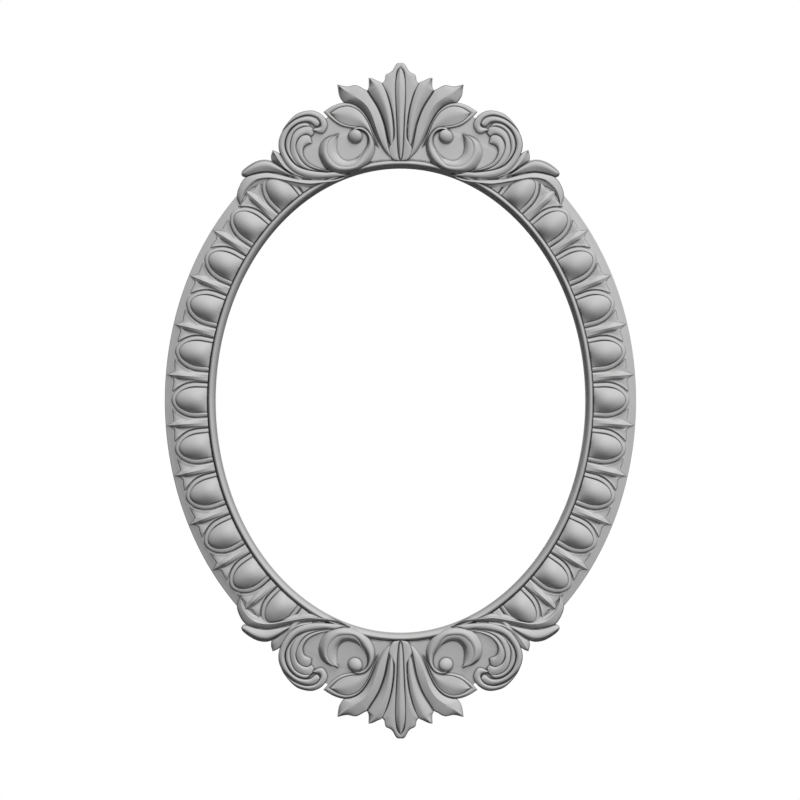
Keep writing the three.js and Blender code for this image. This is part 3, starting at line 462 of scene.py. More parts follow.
bead_hump = smooth_line(BEAD_LINE, 3)
band_edge = outer_band(FACE[0])
rounded_corner = [
    (FACE[0] - EDGE_ROUND * (1 - math.sin(turn)), EDGE_ROUND * (math.cos(turn) - 1) + band_edge)
    for turn in np.linspace(math.pi / 2, 0, 5)
]
moulding = np.array(
    [(REBATE_LIP, -WOOD_THICKNESS), (FACE[0], -WOOD_THICKNESS)]
    + rounded_corner
    + [(CHANNEL_EDGE, outer_band(CHANNEL_EDGE))]
    + [(CHANNEL_EDGE, -CHANNEL_DEPTH), (BEAD_WIDTH, -CHANNEL_DEPTH)]
    + [tuple(point) for point in bead_hump[::-1]]
    + [(0, REBATE_DEPTH - WOOD_THICKNESS), (REBATE_LIP, REBATE_DEPTH - WOOD_THICKNESS)]
)


def swept_ring(profile, angles):
    """A profile of [out, proud] points carried round the oval."""
    sections = []
    for angle in angles:
        across, up = ring_place(angle, profile[:, 0])
        sections.append(points_of(across, profile[:, 1], up))
    return joined(np.array(sections))


QUARTERS = ["upper_right", "upper_left", "lower_left", "lower_right"]
QUARTER_STEPS = 72
for number, quarter in enumerate(QUARTERS):
    angles = np.linspace(number, number + 1, QUARTER_STEPS + 1) * math.pi / 2
    rail = swept_ring(moulding, angles)
    seat("rail_" + quarter, [rail], paint, back=bare_wood)
print("four rails with", QUARTER_STEPS, "steps each")

# %% [markdown]
# ## Places along the run
# The eggs are spaced evenly along the ring's outer edge, and each stands square to it. A table of the
# edge's length against its angle turns a distance along the run into a place. From there the point
# goes straight in, to wherever it meets the oval that lies the wanted distance out from the opening.

# %% The run's own ruler
EGGS_IN_RING, EGGS_EACH_SIDE = 32, 11
RUN_SHIFT = 0.8

outer = (SIGHT[0] + FACE[0], SIGHT[1] + FACE[1])
table_angles = np.linspace(math.pi, -math.pi, 2881)
edge = np.stack([outer[0] * np.cos(table_angles), outer[1] * np.sin(table_angles)], -1)
edge_run = lengths_along(edge)
pitch = edge_run[-1] / EGGS_IN_RING


def run_place(along, out):
    """Points a distance along the run from its left-hand middle and a distance out."""
    along, out = np.broadcast_arrays(np.asarray(along, float) + RUN_SHIFT, np.asarray(out, float))
    angle = np.interp(along % edge_run[-1], edge_run, table_angles)
    start = np.stack([outer[0] * np.cos(angle), outer[1] * np.sin(angle)], -1)
    inward = unit(-start / np.square(outer))
    oval = np.stack([SIGHT[0] + out, SIGHT[1] + out * FACE[1] / FACE[0]], -1)
    p = np.sum((inward / oval) ** 2, -1)
    q = np.sum(start * inward / oval**2, -1)
    r = np.sum((start / oval) ** 2, -1) - 1
    way = (-q - np.sqrt(np.maximum(q * q - p * r, 0))) / p
    return start + inward * way[..., None]


def run_skin(along, proud, out):
    """A section of the run from arrays of places along it, heights and distances out."""
    where = run_place(along, out)
    return points_of(where[..., 0], proud, where[..., 1])


print("one egg every", round(pitch, 1), "mm")

# %% [markdown]
# ## Egg and shell
# Each egg lies in a shell with a raised lip. Seen from the front both are the same shape at different
# sizes: straight sides from the bead, then a rounded end a little fuller than half an ellipse. So one
# outline is drawn at many sizes and heights, like contour lines on a map, and skinned. The heights
# climb the shell's wall to its lip, drop into a crease and then swell up to the middle of the egg.
# The egg joins the bead at its inner end, and the whole sinks a little towards the outside.

# %% The contours of one egg
SHELL_HALF, SHELL_SHOULDER = 21.0, 20.0
EGG_HALF, EGG_END, EGG_EDGE = 15.1, 43.9, 2.7
EGG_SIZES = (1, 0.98, 0.94, 0.87, 0.78, 0.68, 0.57, 0.45, 0.33, 0.2, 0.08, 0.0001)
RUN_START = BEAD_WIDTH + 0.2
SHELL_LIP = [(0, -0.4), (0.4, 1.4), (0.75, 2.6), (1.2, 3.1), (2.4, 3.5), (3.5, 3.85), (4.3, 3.9),
             (5.0, 3.5), (5.6, 2.8)]
EGG_RISES = [(0, 10.9), (0.2, 10.55), (0.4, 9.65), (0.6, 8.05), (0.75, 6.6), (0.87, 5.3),
             (0.94, 4.5), (0.98, 3.6), (1, EGG_EDGE)]
SHELL_DROP = [(9, 0), (20, -0.4), (30, -0.9), (38, -1.3), (48, -1.7)]
EGG_TO_BEAD = [(BEAD_WIDTH, 0.86), (10, 0.78), (12, 0.54), (14, 0.37), (16, 0.24), (18, 0.14),
               (20, 0.07), (24, 0)]
END_TURNS = np.linspace(-math.pi / 2, math.pi / 2, 25)
SIDE_ROWS = np.linspace(0, 1, 7)[:-1]


def read_steps(steps, where):
    return np.interp(where, *np.array(steps, float).T)


def contour(half, end, fullness):
    """The outline of an egg or shell, as places along the run and distances out."""
    sides = np.full(len(SIDE_ROWS), half)
    turned = np.sign(END_TURNS) * half * np.abs(np.sin(END_TURNS)) ** (2 * fullness)
    rows = RUN_START + (SHELL_SHOULDER - RUN_START) * SIDE_ROWS
    far = SHELL_SHOULDER + (end - SHELL_SHOULDER) * np.cos(END_TURNS)
    return np.concatenate([-sides, turned, sides]), np.concatenate([rows, far, rows[::-1]])


def egg_skin(centre):
    """One egg in its shell, at a distance along the run."""
    sections = []
    for inset, proud in SHELL_LIP:
        along, out = contour(SHELL_HALF - inset, CHANNEL_EDGE - 0.2 - 0.84 * inset, 0.56)
        drop = read_steps(SHELL_DROP, out) * min(1, max(0, proud) / 2.5)
        sections.append(run_skin(centre + along, proud + drop, out))
    for size in EGG_SIZES:
        along, out = contour(EGG_HALF * size, SHELL_SHOULDER + (EGG_END - SHELL_SHOULDER) * size, 0.5)
        rise = read_steps(EGG_RISES, size)
        proud = rise - (rise - EGG_EDGE) * read_steps(EGG_TO_BEAD, out)
        proud += read_steps(SHELL_DROP, out) * size**6
        sections.append(run_skin(centre + along, proud, out))
    return joined(np.array(sections))


# %% [markdown]
# ## Dart
# Between two shells stands a dart: a ridged shaft that ends in an arrow, with a thin web spread on
# both sides as far as the shells. Its sections run across, from web to web, and march outwards. Near
# the end they bend out after the drawn line of the barbs, so that the arrow and both barb tips come
# from the same skin as the shaft. The height depends only on where a point is: along the ridge line,
# down a soft flank, and across the web, which rises a little at its outer edge.

# %% The relief of one dart
DART_BARB, DART_TIP = 45.0, 53.2
DART_OUTLINE = [(0, DART_TIP), (1.6, 49.4), (4.2, 46.1), (6.3, 45.1), (11.5, 46), (16.5, 46.3),
                (21, 46)]
HEAD_HALF = [(44, 7.0), (45.1, 6.3), (46.1, 4.2), (49.4, 1.6), (DART_TIP, 0.4)]
RIDGE_LINE = [(9, 3.8), (15, 4.7), (22, 5.8), (30, 6.9), (34, 7.3), (38, 6.9), (40, 6.2), (42, 5.2),
              (44, 4.0), (46, 3.0), (48, 2.0), (50, 0.9), (DART_TIP, -1.2)]
ROOF_SLOPE = [(12, 0), (22, 0.3), (30, 0.5), (38, 0.6), (46, 0.5)]
WEB_LINE = [(9, 3.3), (15, 3.0), (22, 2.9), (30, 2.7), (38, 2.3), (42, 2.2), (44.5, 2.1),
            (46.5, 1.9)]
SHAFT_WALL = (3.2, 5.0)


def eased(value, low, high):
    """0 below a range, 1 above it, and a soft step within it."""
    share = np.clip((np.asarray(value) - low) / (high - low), 0, 1)
    return share * share * (3 - 2 * share)


def dart_rise(side, out):
    """The height of a dart, a distance to the side of its ridge and a distance out."""
    ridge = read_steps(RIDGE_LINE, out)
    roof = ridge - side * read_steps(ROOF_SLOPE, out)
    web = read_steps(WEB_LINE, out) - 0.25 * np.clip(side - 4, 0, 3) * eased(out, 42, 34)
    height = roof + (np.minimum(web, ridge) - roof) * eased(side, *SHAFT_WALL)
    edge = np.minimum(outer_band(out) + 1.6, ridge)
    head = ridge + (edge - ridge) * np.clip(side / read_steps(HEAD_HALF, out), 0, 1)
    to_head = np.clip((out - DART_BARB + 1.2) / 1.8, 0, 1)
    return height + (np.minimum(height, head) - height) * to_head


# %% The sections of one dart
def dart_skin(centre):
    """One dart with its webs."""
    stations = np.concatenate([np.linspace(0, 0.76, 13), np.linspace(0.8, 1, 12)])
    sections = []
    for share in stations:
        row = RUN_START + share * (DART_BARB - RUN_START)
        bend = np.clip((share - 0.72) / 0.28, 0, 1) ** 2
        shoulder = np.clip((row - SHELL_SHOULDER) / (CHANNEL_EDGE - SHELL_SHOULDER), 0, 1)
        edge_half = pitch / 2 - SHELL_HALF * (1 - shoulder**2) ** 0.56 - 1.0
        shaft = min(SHAFT_WALL[1], edge_half - 0.6)
        flank = shaft * np.array([0, 0.08, 0.2, 0.4, 0.62, 0.72, 0.82, 0.92, 1])
        web = np.linspace(shaft, edge_half - 0.5, 7)[1:]
        sides = np.concatenate([flank, web, [edge_half - 0.1, edge_half + 0.3, edge_half + 1.2]])
        out = row + bend * (read_steps(DART_OUTLINE, sides) - DART_BARB)
        rises = dart_rise(sides, out) + 0.5 * eased(sides, edge_half - 3, edge_half - 1)
        rises[-3:] = [rises[-4] - 0.4, rises[-4] - 1.4, -0.6]
        sections.append(both_sides(centre, sides, rises, out))
    sections.append(both_sides(centre, sides, outer_band(out + 0.9) - 0.5, out + 0.9))
    return joined(np.array(sections))


def both_sides(centre, sides, rises, out):
    """A section from the half of it that lies to one side of the ridge."""
    there_and_back = [np.concatenate([line[:0:-1], line]) for line in (sides, rises, out)]
    there_and_back[0][: len(sides) - 1] *= -1
    return run_skin(centre + there_and_back[0], there_and_back[1], there_and_back[2])


# %% The two runs
RUN_DEPTH = 2.7
half_run = EGGS_EACH_SIDE // 2
run_base = np.array(
    [
        (RUN_START, -RUN_DEPTH), (CHANNEL_EDGE - 0.02, -RUN_DEPTH),
        (CHANNEL_EDGE - 0.02, outer_band(CHANNEL_EDGE)), (BAND_START, 0), (RUN_START, 0),
    ]
)
left_run = [swept_ring(run_base, np.linspace(0.5, 1.5, 2 * QUARTER_STEPS + 1) * math.pi)]
left_run += [egg_skin(number * pitch) for number in range(-half_run, half_run + 1)]
left_run += [dart_skin((number - 0.5) * pitch) for number in range(-half_run, half_run + 2)]
seat("egg_and_dart_left", left_run, paint)
seat("egg_and_dart_right", flipped(left_run, across=-1), paint)
print("two runs of", EGGS_EACH_SIDE, "eggs")

# %% [markdown]
# ## Carved bands
# The crests are built from bands: each leaf, roll or stem is drawn by its two edges, and sometimes by
# the line of its ridge. A section is taken across at every step. Its heights follow a profile from
# edge to edge, its top corners are rounded over by a small radius as sandpaper leaves them, and its
# walls flare down to the face, because a carver undercuts nothing that must be painted.

# %% Reading a profile smoothly
def profile_height(steps, shares, crisp):
    """Heights at shares across, through chosen steps: straight between them, or eased."""
    where, height = np.array(steps, float).T
    if crisp or len(where) < 3:
        return np.interp(shares, where, height)
    slope = np.gradient(height, where)
    spot = np.clip(np.searchsorted(where, shares) - 1, 0, len(where) - 2)
    gap = where[spot + 1] - where[spot]
    t = np.clip((shares - where[spot]) / gap, 0, 1)
    start, end = height[spot], height[spot + 1]
    rise = end - start
    turn = slope[spot] * gap * (1 - t) - slope[spot + 1] * gap * t
    return start + rise * t + t * (1 - t) * (turn + rise * (2 * t - 1))


# %% The ground that the carvings stand on
BOARD_REACH, BOARD_TOP, BOARD_SLOPE = 45.2, 3.2, 0.1
FOOT_DEPTH = 0.5
CREST_LEAN, CREST_TALL = 0.085, 110


def past_ring(places):
    """How far places lie beyond the ring's outer edge, roughly."""
    return (np.hypot(places[..., 0] / outer[0], places[..., 1] / outer[1]) - 1) * outer[1]


def board_front(places):
    """How high the front of a crest board lies, which leans away from the ring."""
    return BOARD_TOP - BOARD_SLOPE * np.clip(past_ring(places) + BOARD_REACH, 0, CREST_TALL)


def lean(places):
    """How far the carvings have sunk at a place, since the whole crest leans away from the ring."""
    return CREST_LEAN * np.clip(past_ring(places) + FACE[0] - BEAD_WIDTH, 0, CREST_TALL)


def foot(place):
    return min(board_front(place), 0) - FOOT_DEPTH


# %% One band
WALL_FLARE = 1.3
SOFT_EDGE = 0.9
ROUND = [(0, 0.55), (0.45, 1), (1, 0.6)]
TAPERED = [(0, 0.55), (0.2, 0.85), (0.5, 1), (0.85, 0.95), (1, 0.7)]


def outward_normals(line, other):
    """Unit normals of a drawn edge that point away from the band's other edge."""
    tangent = np.gradient(line, axis=0)
    normal = unit(np.stack([tangent[:, 1], -tangent[:, 0]], -1))
    return normal if np.sum(normal * (line - other)) > 0 else -normal


def band(left, right, rise, across=ROUND, along=TAPERED, ridge=None, crisp=False,
         round_end=False, flare=WALL_FLARE, soft=SOFT_EDGE, step=1.5, tuck=0.0, across_start=None):
    """A skin between two drawn edges of [across, up] points."""
    lines = [smooth_line(left), smooth_line(right)]
    longest = max(lengths_along(line)[-1] for line in lines)
    count = max(10, int(longest / step))
    shares = np.linspace(0, 1, count + 1)
    if round_end:
        shares = np.concatenate([shares[:-1], 1 - np.array([0.6, 0.3, 0.12, 0]) / count])
    a, b = (at_shares(line, shares) for line in lines)
    crest = at_shares(smooth_line(ridge), shares) if ridge else (a + b) / 2
    away_a, away_b = outward_normals(a, b), outward_normals(b, a)
    a = a + away_a * tuck
    foot_a, foot_b = a + away_a * flare / 2, b + away_b * flare / 2
    narrow = np.linalg.norm(a - b, axis=1)
    inset = np.minimum(flare / 2, narrow / 4)[:, None]
    chord = (b - a) / np.maximum(narrow, 1e-6)[:, None]
    a, b = a + chord * inset, b - chord * inset
    to_end = (1 - shares) * longest
    level = profile_height(along, shares, False) * rise
    sections = []
    for i in range(len(shares)):
        profile = np.array(across, float)
        if across_start:
            profile[:, 1] += (np.array(across_start) - profile[:, 1]) * eased(shares[i], 0.5, 0.12)
        sections.append(
            band_section(a[i], b[i], crest[i], foot_a[i], foot_b[i], level[i], profile, crisp, soft,
                         to_end[i] if round_end else 99.0)
        )
    return joined(np.array(sections))


def band_section(a, b, crest, foot_a, foot_b, level, across, crisp, soft, to_end):
    """One closed section: a foot, the rounded top from edge to edge, and the other foot."""
    points = [(*foot_a, foot(foot_a))]
    for start, end, first in ((a, crest, True), (crest, b, False)):
        reach = np.linalg.norm(end - start)
        radius = min(soft, reach * 0.45)
        near = radius * np.array([0, 0.1, 0.35, 0.7])
        far = np.linspace(radius, reach, 6)
        from_edge = np.concatenate([near, far])
        if not first:
            from_edge = from_edge[::-1][1:]
        share = from_edge / max(reach, 1e-6)
        spots = a + (crest - a) * share[:, None] if first else b + (crest - b) * share[:, None]
        where = share / 2 if first else 1 - share / 2
        height = level * profile_height(across, where, crisp)
        rounding = min(max(radius, 0.25), level * 0.5)
        depth = np.clip(np.minimum(from_edge, to_end) / max(radius, 1e-6), 0, 1)
        height = height - rounding * (1 - np.sqrt(1 - (1 - depth) ** 2))
        points += [(*spot, tall) for spot, tall in zip(spots, height - lean(spots))]
    points.append((*foot_b, foot(foot_b)))
    flat = np.array(points)
    return flat[:, [0, 2, 1]]


# %% [markdown]
# ## The palmette
# The middle leaf stands in the centre of each crest: a tall lobe with stepped shoulders, a lobe with
# a rounded back beside it, and a wide outer lobe with a sharp ridge. Only the right half is drawn.
# The halves meet on the centre line, where a slim rounded rib covers the seam.

# %% The palmette and its rib
PALMETTE_RISE, RIB_RISE = 11.0, 11.8
palmette_half = [
    band(
        left=[(0, 258.7), (8.4, 260.6), (12.8, 271), (10.2, 277.5), (7.2, 283), (6.8, 291.3),
              (9.6, 314), (14.5, 331.8), (19.5, 342.9), (17.5, 344.8), (15.7, 351.9),
              (11.1, 354.3), (8.5, 356.7), (3.7, 364.1), (-1.5, 364.5)],
        right=[(0, 258.7), (1.9, 264.3), (4.0, 303.2), (5.1, 344.2), (3, 356.5), (-1, 360.5),
               (-1.5, 364.5)],
        rise=PALMETTE_RISE, across=[(0, 0.76), (0.5, 0.84), (1, 0.78)], flare=0.6,
    ),
    band(
        left=[(11, 275.5), (13.3, 278.9), (17.5, 298.3), (23.8, 315.6), (34.2, 332.3),
              (35.8, 335.2), (34.4, 338.3), (34.4, 348.5)],
        right=[(11, 275.5), (8.3, 278.3), (10.2, 314), (20.3, 343.1), (23.7, 344.8), (31.3, 348.2),
               (34.4, 348.5)],
        rise=PALMETTE_RISE, across=[(0, 0.5), (0.3, 0.8), (0.62, 1), (1, 0.84)], flare=0.5,
        soft=0.6, along=[(0, 0.66), (0.2, 0.88), (0.5, 1), (0.85, 0.95), (1, 0.8)],
    ),
    band(
        left=[(9.1, 260.7), (15.6, 265.4), (22.6, 275.6), (36.4, 306.9), (45.9, 317.6),
              (56.7, 321.7), (60.4, 321.9), (65.5, 328.5), (67.9, 341.2)],
        right=[(9.1, 260.7), (13.5, 276.2), (18.1, 298.1), (24.5, 315.3), (34.9, 332.1),
               (36.8, 335.2), (39.2, 336.2), (48, 340.5), (57.7, 339.1), (67.9, 341.2)],
        ridge=[(9.1, 260.7), (17.8, 274), (24.3, 289.1), (31.8, 310.7), (39.4, 321.5),
               (59.9, 335), (67.9, 341.2)],
        across=[(0, 0.45), (0.25, 0.78), (0.5, 1), (0.75, 0.91), (1, 0.78)],
        across_start=(0.3, 0.66, 0.9, 0.98, 0.92), rise=PALMETTE_RISE, crisp=True, flare=0.8,
        soft=0.6,
    ),
]
palmette_rib = band(
    left=[(0, 258.9), (1.9, 264.3), (4.1, 303.2), (5.3, 344.2), (2.1, 358.2), (0, 360.1)],
    right=[(0, 258.9), (-1.9, 264.3), (-4.1, 303.2), (-5.3, 344.2), (-2.1, 358.2), (0, 360.1)],
    rise=RIB_RISE, across=[(0, 0.78), (0.5, 1), (1, 0.78)], round_end=True, flare=0.6,
)

# %% [markdown]
# ## The calyx leaf
# A pointed leaf lies either side of the palmette. Its rim is a thin raised cord, and its middle swells
# inside the rim. Three bands make it: one along each side of the rim and one for the swelling, which
# share their drawn lines, so the fine grooves between them stay even.

# %% The calyx leaf
CALYX_RISE = 8.0
CALYX_RIM = CALYX_RISE * 0.72
CALYX_TOP = [(20.5, 268.6), (26.1, 282.6), (32.6, 299.4), (41, 312.9), (51.3, 320.4), (62.1, 321.7),
             (72.9, 318.3), (83.2, 312)]
CALYX_FOOT = [(20.5, 268.6), (31.8, 281.6), (37.2, 288), (43.7, 292.4), (54.5, 294.1),
              (65.3, 296.9), (75, 303.7), (83.2, 312)]
SWELL_TOP = [(24.3, 274), (29.9, 287.5), (36.1, 301.8), (44.8, 312.9), (55.6, 317.8), (66.4, 316.3),
             (76.1, 310.4)]
SWELL_FOOT = [(24.3, 274), (31.8, 285.9), (37.2, 291.8), (43.7, 295.6), (56.7, 297.5),
              (66.9, 301.8), (76.1, 310.4)]
calyx_leaf = [
    band(left=CALYX_TOP, right=SWELL_TOP, rise=CALYX_RIM, flare=0.5, soft=0.5,
         across=[(0, 0.7), (0.5, 1), (1, 0.95)]),
    band(left=SWELL_FOOT, right=CALYX_FOOT, rise=CALYX_RIM, flare=0.5, soft=0.5,
         across=[(0, 0.95), (0.5, 1), (1, 0.7)]),
    band(left=SWELL_TOP, right=SWELL_FOOT, rise=CALYX_RISE, flare=0.3, soft=0.5,
         across=[(0, 0.78), (0.4, 1), (1, 0.74)]),
]

# %% [markdown]
# ## The C-scroll
# A thick roll curls round a hollow leaf and ends in a ball, the eye. The roll rises steadily from its
# outer edge to a crest on its inner side. The leaf starts just under that crest and slopes down to
# the middle of the C, and its edge is tucked under the roll. The ball is a turned form, so it is made
# from rings round an axis, and then its top is pushed over to one side, because it is set at a slant.

# %% The C-scroll with its eye
SCROLL_RISE = 11.0
SCROLL_ALONG = [(0, 0.85), (0.3, 1), (0.85, 0.95), (1, 0.8)]
EYE_PLACE, EYE_RADIUS, EYE_RISE = (49.1, 285.1), 7.5, 10.2
EYE_WALL, EYE_PUSH = 0.4, (-0.28, 0.28)


def lathed(profile, centre, sides=40):
    """Rings of a turned form, from its foot to its top, about an axis that stands off the face."""
    turns = np.linspace(0, 2 * math.pi, sides, endpoint=False)
    sections = [
        points_of(centre[0] + radius * np.cos(turns), proud, centre[1] + radius * np.sin(turns))
        for radius, proud in profile
    ]
    return joined(np.array(sections))


def tilted(skin, push):
    """A skin whose points move sideways the more the higher they are."""
    points, faces = skin
    height = np.clip(points[:, 1:2] - EYE_RISE * EYE_WALL, 0, None)
    return points + height * (push[0], 0, push[1]), faces


eye_dome = [
    (EYE_RADIUS * math.cos(turn), EYE_RISE * (EYE_WALL + (1 - EYE_WALL) * math.sin(turn)))
    for turn in np.linspace(0, math.pi / 2 - 0.02, 12)
]
c_scroll = [
    band(
        left=[(52.3, 293.1), (49.6, 295.8), (40.5, 296), (32, 289.1), (27.8, 278.9), (28, 268.1),
              (32.9, 257.5), (42.6, 248.8), (55.6, 243.8), (70.7, 244.2), (81.2, 250.2),
              (88, 262.1), (89.1, 268.6), (86.2, 279.4), (77.5, 286.2), (66.7, 287.7)],
        right=[(46.4, 291.1), (42.6, 291.1), (36.7, 285.9), (36.4, 276.2), (41.5, 267),
               (48, 256.7), (52.3, 254.2), (64.2, 254), (69.2, 256), (76.5, 263.7), (78.7, 273.5),
               (75.2, 282.4), (66.7, 287.7)],
        rise=SCROLL_RISE, along=SCROLL_ALONG, soft=0.5,
        across=[(0, 0.32), (0.3, 0.72), (0.75, 1), (1, 0.93)],
        across_start=(0.55, 0.98, 0.8, 0.42),
    ),
    band(
        left=[(38.5, 271), (41.8, 266.6), (48, 256.5), (52.3, 254), (64.2, 253.8), (69.4, 255.8),
              (76.7, 263.5), (78.9, 273.5), (75.4, 282.5), (66.7, 287.7)],
        right=[(38.5, 271), (42.3, 266.5), (49, 262.3), (56.1, 260.2), (61.9, 261.4),
               (66.9, 266.6), (68.3, 273), (67.8, 280.5), (66.7, 287.7)],
        rise=SCROLL_RISE, along=SCROLL_ALONG, soft=0.5,
        across=[(0, 0.88), (0.3, 0.86), (0.7, 0.68), (1, 0.38)], tuck=1.2,
    ),
    tilted(lathed([(EYE_RADIUS + 0.5, -FOOT_DEPTH)] + eye_dome, EYE_PLACE), EYE_PUSH),
]

# %% [markdown]
# ## The feather scroll
# Five nested plumes sweep up from one stem and turn over at their ends. Each is a rounded band with a
# round end. The inner ones lie a little lower and tuck under their neighbours, so that the light
# picks out all five.

# %% The feather scroll
FEATHER_RISE = 10.5
PLUME = [(0, 0.84), (0.25, 0.95), (0.55, 1), (0.85, 0.93), (1, 0.84)]
OUTER_PLUME = dict(across=PLUME, round_end=True, flare=0.6, soft=0.7)
INNER_PLUME = dict(across=PLUME, round_end=True, tuck=1.3, soft=0.6)
feather_scroll = [
    band(
        left=[(129.6, 286.6), (126.3, 294), (115.5, 306.8), (108.5, 311.1), (94.5, 313.1),
              (83.7, 307.5), (79, 297.8), (83.3, 289.1), (87.1, 288.3), (95.5, 292.4)],
        right=[(129.6, 286.6), (123.4, 296), (113.7, 304), (102, 308), (91.2, 305.7),
               (86.4, 298.5), (87.4, 295.8), (93.9, 294), (95.5, 292.4)],
        rise=FEATHER_RISE, along=[(0, 0.5), (0.3, 0.85), (0.8, 0.95), (1, 0.8)], **OUTER_PLUME,
    ),
    band(
        left=[(54.5, 243.5), (78.3, 240.4), (99.9, 240.9), (116.1, 247.3), (126.9, 260),
              (131.8, 274.5), (129.8, 286.4), (123.4, 295.6), (113.7, 303.5), (102, 307.5),
              (94, 307), (89.5, 304.6), (87.1, 300)],
        right=[(54.5, 243.9), (62.1, 244.7), (69.6, 247.1), (81.5, 246.6), (112.3, 253.8),
               (124.8, 274), (120.1, 291), (110.7, 298.9), (103, 300.9), (97, 300.1),
               (93.5, 297.2), (90.8, 295.6), (88.3, 296.8), (87.1, 300)],
        rise=FEATHER_RISE, along=[(0, 0.6), (0.2, 0.9), (0.8, 1), (1, 0.85)], **OUTER_PLUME,
    ),
    band(
        left=[(102, 249.9), (112.3, 254), (123.4, 268.6), (124.3, 280.5), (119.8, 290.6),
              (110.7, 298.6), (100.6, 300), (96.6, 295.3)],
        right=[(102, 249.9), (108, 252.8), (118.7, 269.7), (115, 289.1), (106, 295.2),
               (96.6, 295.3)],
        rise=FEATHER_RISE * 0.95, **OUTER_PLUME,
    ),
    band(
        left=[(76.1, 247.5), (102, 250.5), (112.4, 257.6), (118.2, 269.7), (114.6, 288.7),
              (105.8, 294.6), (96.6, 294.5), (94.5, 289.1), (97.5, 286.1)],
        right=[(76.1, 248.2), (86.9, 248.2), (103.5, 255.6), (113, 272.9), (110.7, 282.3),
               (103.1, 287), (97.5, 286.1)],
        rise=FEATHER_RISE * 0.9, **INNER_PLUME,
    ),
    band(
        left=[(73.9, 247.9), (91.2, 250.3), (103.1, 256.2), (112.4, 272.9), (107, 284.8),
              (99.3, 285.7), (96.6, 278.1)],
        right=[(73.9, 248.4), (86.9, 251), (99.9, 257.5), (105.3, 266.4), (104.2, 273.8),
               (96.6, 278.1)],
        rise=FEATHER_RISE * 0.85, **INNER_PLUME,
    ),
]

# %% [markdown]
# ## The spray
# Below the feathers a spray of three leaves runs out over the egg and dart: a spike that begins as a
# long ridge beside the stem, a full rounded lobe, and a long blade that curls over at its end. The
# spike and the blade have a sharp ridge, so their profiles are kept crisp.

# %% The spray
SPRAY_RISE = 9.5
spray_leaf = [
    band(
        left=[(95.6, 236.8), (106.4, 238.2), (114.9, 240.8), (121.8, 245.8), (128, 250.4),
              (134.2, 255.5), (138.8, 259.3), (139.6, 263.9), (138, 270.5)],
        right=[(95.6, 241.6), (109.5, 245.4), (117.2, 249.8), (123.2, 256.6), (127.9, 263.5),
               (132.2, 267.8), (138, 270.5)],
        ridge=[(95.6, 240.2), (103.3, 241.6), (111, 243.5), (118.7, 247.4), (124.1, 251.2),
               (128.8, 256.2), (134.2, 264.3), (138, 270.5)],
        rise=SPRAY_RISE * 1.02, across=[(0, 0.4), (0.5, 1), (1, 0.84)], crisp=True, flare=0.6,
        soft=0.4, along=[(0, 0.8), (0.5, 1), (0.8, 0.96), (1, 0.8)],
    ),
    band(
        left=[(108, 239.6), (119.3, 242), (144.1, 246.8), (157.1, 245.2), (167.3, 241.9),
              (170.1, 242.7), (171.4, 244.8)],
        right=[(108, 239.6), (121, 247), (133.3, 255.1), (144.1, 259.7), (156, 257.9),
               (170.5, 247.8), (171.4, 244.8)],
        rise=SPRAY_RISE, across=[(0, 0.64), (0.3, 0.86), (0.62, 1), (0.82, 0.93), (1, 0.6)],
        along=[(0, 0.75), (0.5, 0.95), (0.85, 0.9), (1, 0.6)], round_end=True,
    ),
    band(
        left=[(54.5, 244.4), (71.8, 239.4), (91.2, 238.8), (112.8, 240), (131.2, 244.2),
              (144.1, 246.3), (157.1, 244.6), (167, 241.1), (173.6, 231.9), (176.4, 221.1),
              (172.3, 206.8)],
        right=[(54.5, 244.4), (71.8, 235.5), (86.9, 231.7), (102, 229.1), (116.1, 231.3),
               (134.4, 236.7), (147.4, 233.5), (160.3, 228.9), (168.4, 220), (172.3, 206.8)],
        ridge=[(54.5, 244.4), (65.3, 238.7), (86.9, 234.9), (97.7, 233.8), (119.3, 236.8),
               (140.9, 240.2), (151.7, 239.2), (158.2, 236.2), (167.9, 226.5), (172.2, 213.5),
               (172.3, 206.8)],
        rise=SPRAY_RISE, across=[(0, 0.6), (0.25, 0.86), (0.47, 1), (0.55, 0.62), (1, 0.38)],
        crisp=True, flare=0.7, along=[(0, 0.7), (0.15, 0.9), (0.6, 1), (0.9, 0.75), (1, 0.5)],
    ),
]

# %% [markdown]
# ## The crest board
# The carvings of a crest are glued to a thin board that is pinned to the ring. Only slivers of it
# show from the front, but from behind it is all there is to see, so its edge follows the carvings
# closely and is softened a little. Its front leans away from the ring, as the carvings on it do, and
# laps on to the ring's face, so that no gap opens under them.

# %% The crest board
BOARD_THICKNESS = 14.0
BOARD_FOOT_SHARE = 0.672
BOARD_INSET, SOFT_BACK_EDGE = 0.9, [(0.7, 0), (0.2, 0.2), (0, 0.8)]
FRONT_LAP, FRONT_EDGE = 8.0, 0.8
FULL_LAP, LAP_ENDS = 112, 124
GRID_ACROSS, GRID_UP = (-177, 178, 6.0), (200, 362, 6.0)
board_edge = [
    (0, 361), (4.8, 358.2), (9.1, 350.7), (18.9, 339.8), (31.3, 344.2), (31.8, 335.5),
    (37.2, 331.3), (45.9, 335.5), (64.2, 334.4), (60.9, 319.9), (79.8, 311), (80, 306.2),
    (91.2, 310), (99.9, 310.8), (108.5, 308.7), (117.1, 303.5), (124.2, 295.5), (128.5, 285.8),
    (129.8, 275), (128.8, 269), (137, 266), (138, 261.8), (146.3, 258.6), (154.9, 257),
    (162.5, 252.3), (167.9, 246.9), (167.4, 244.2),
]


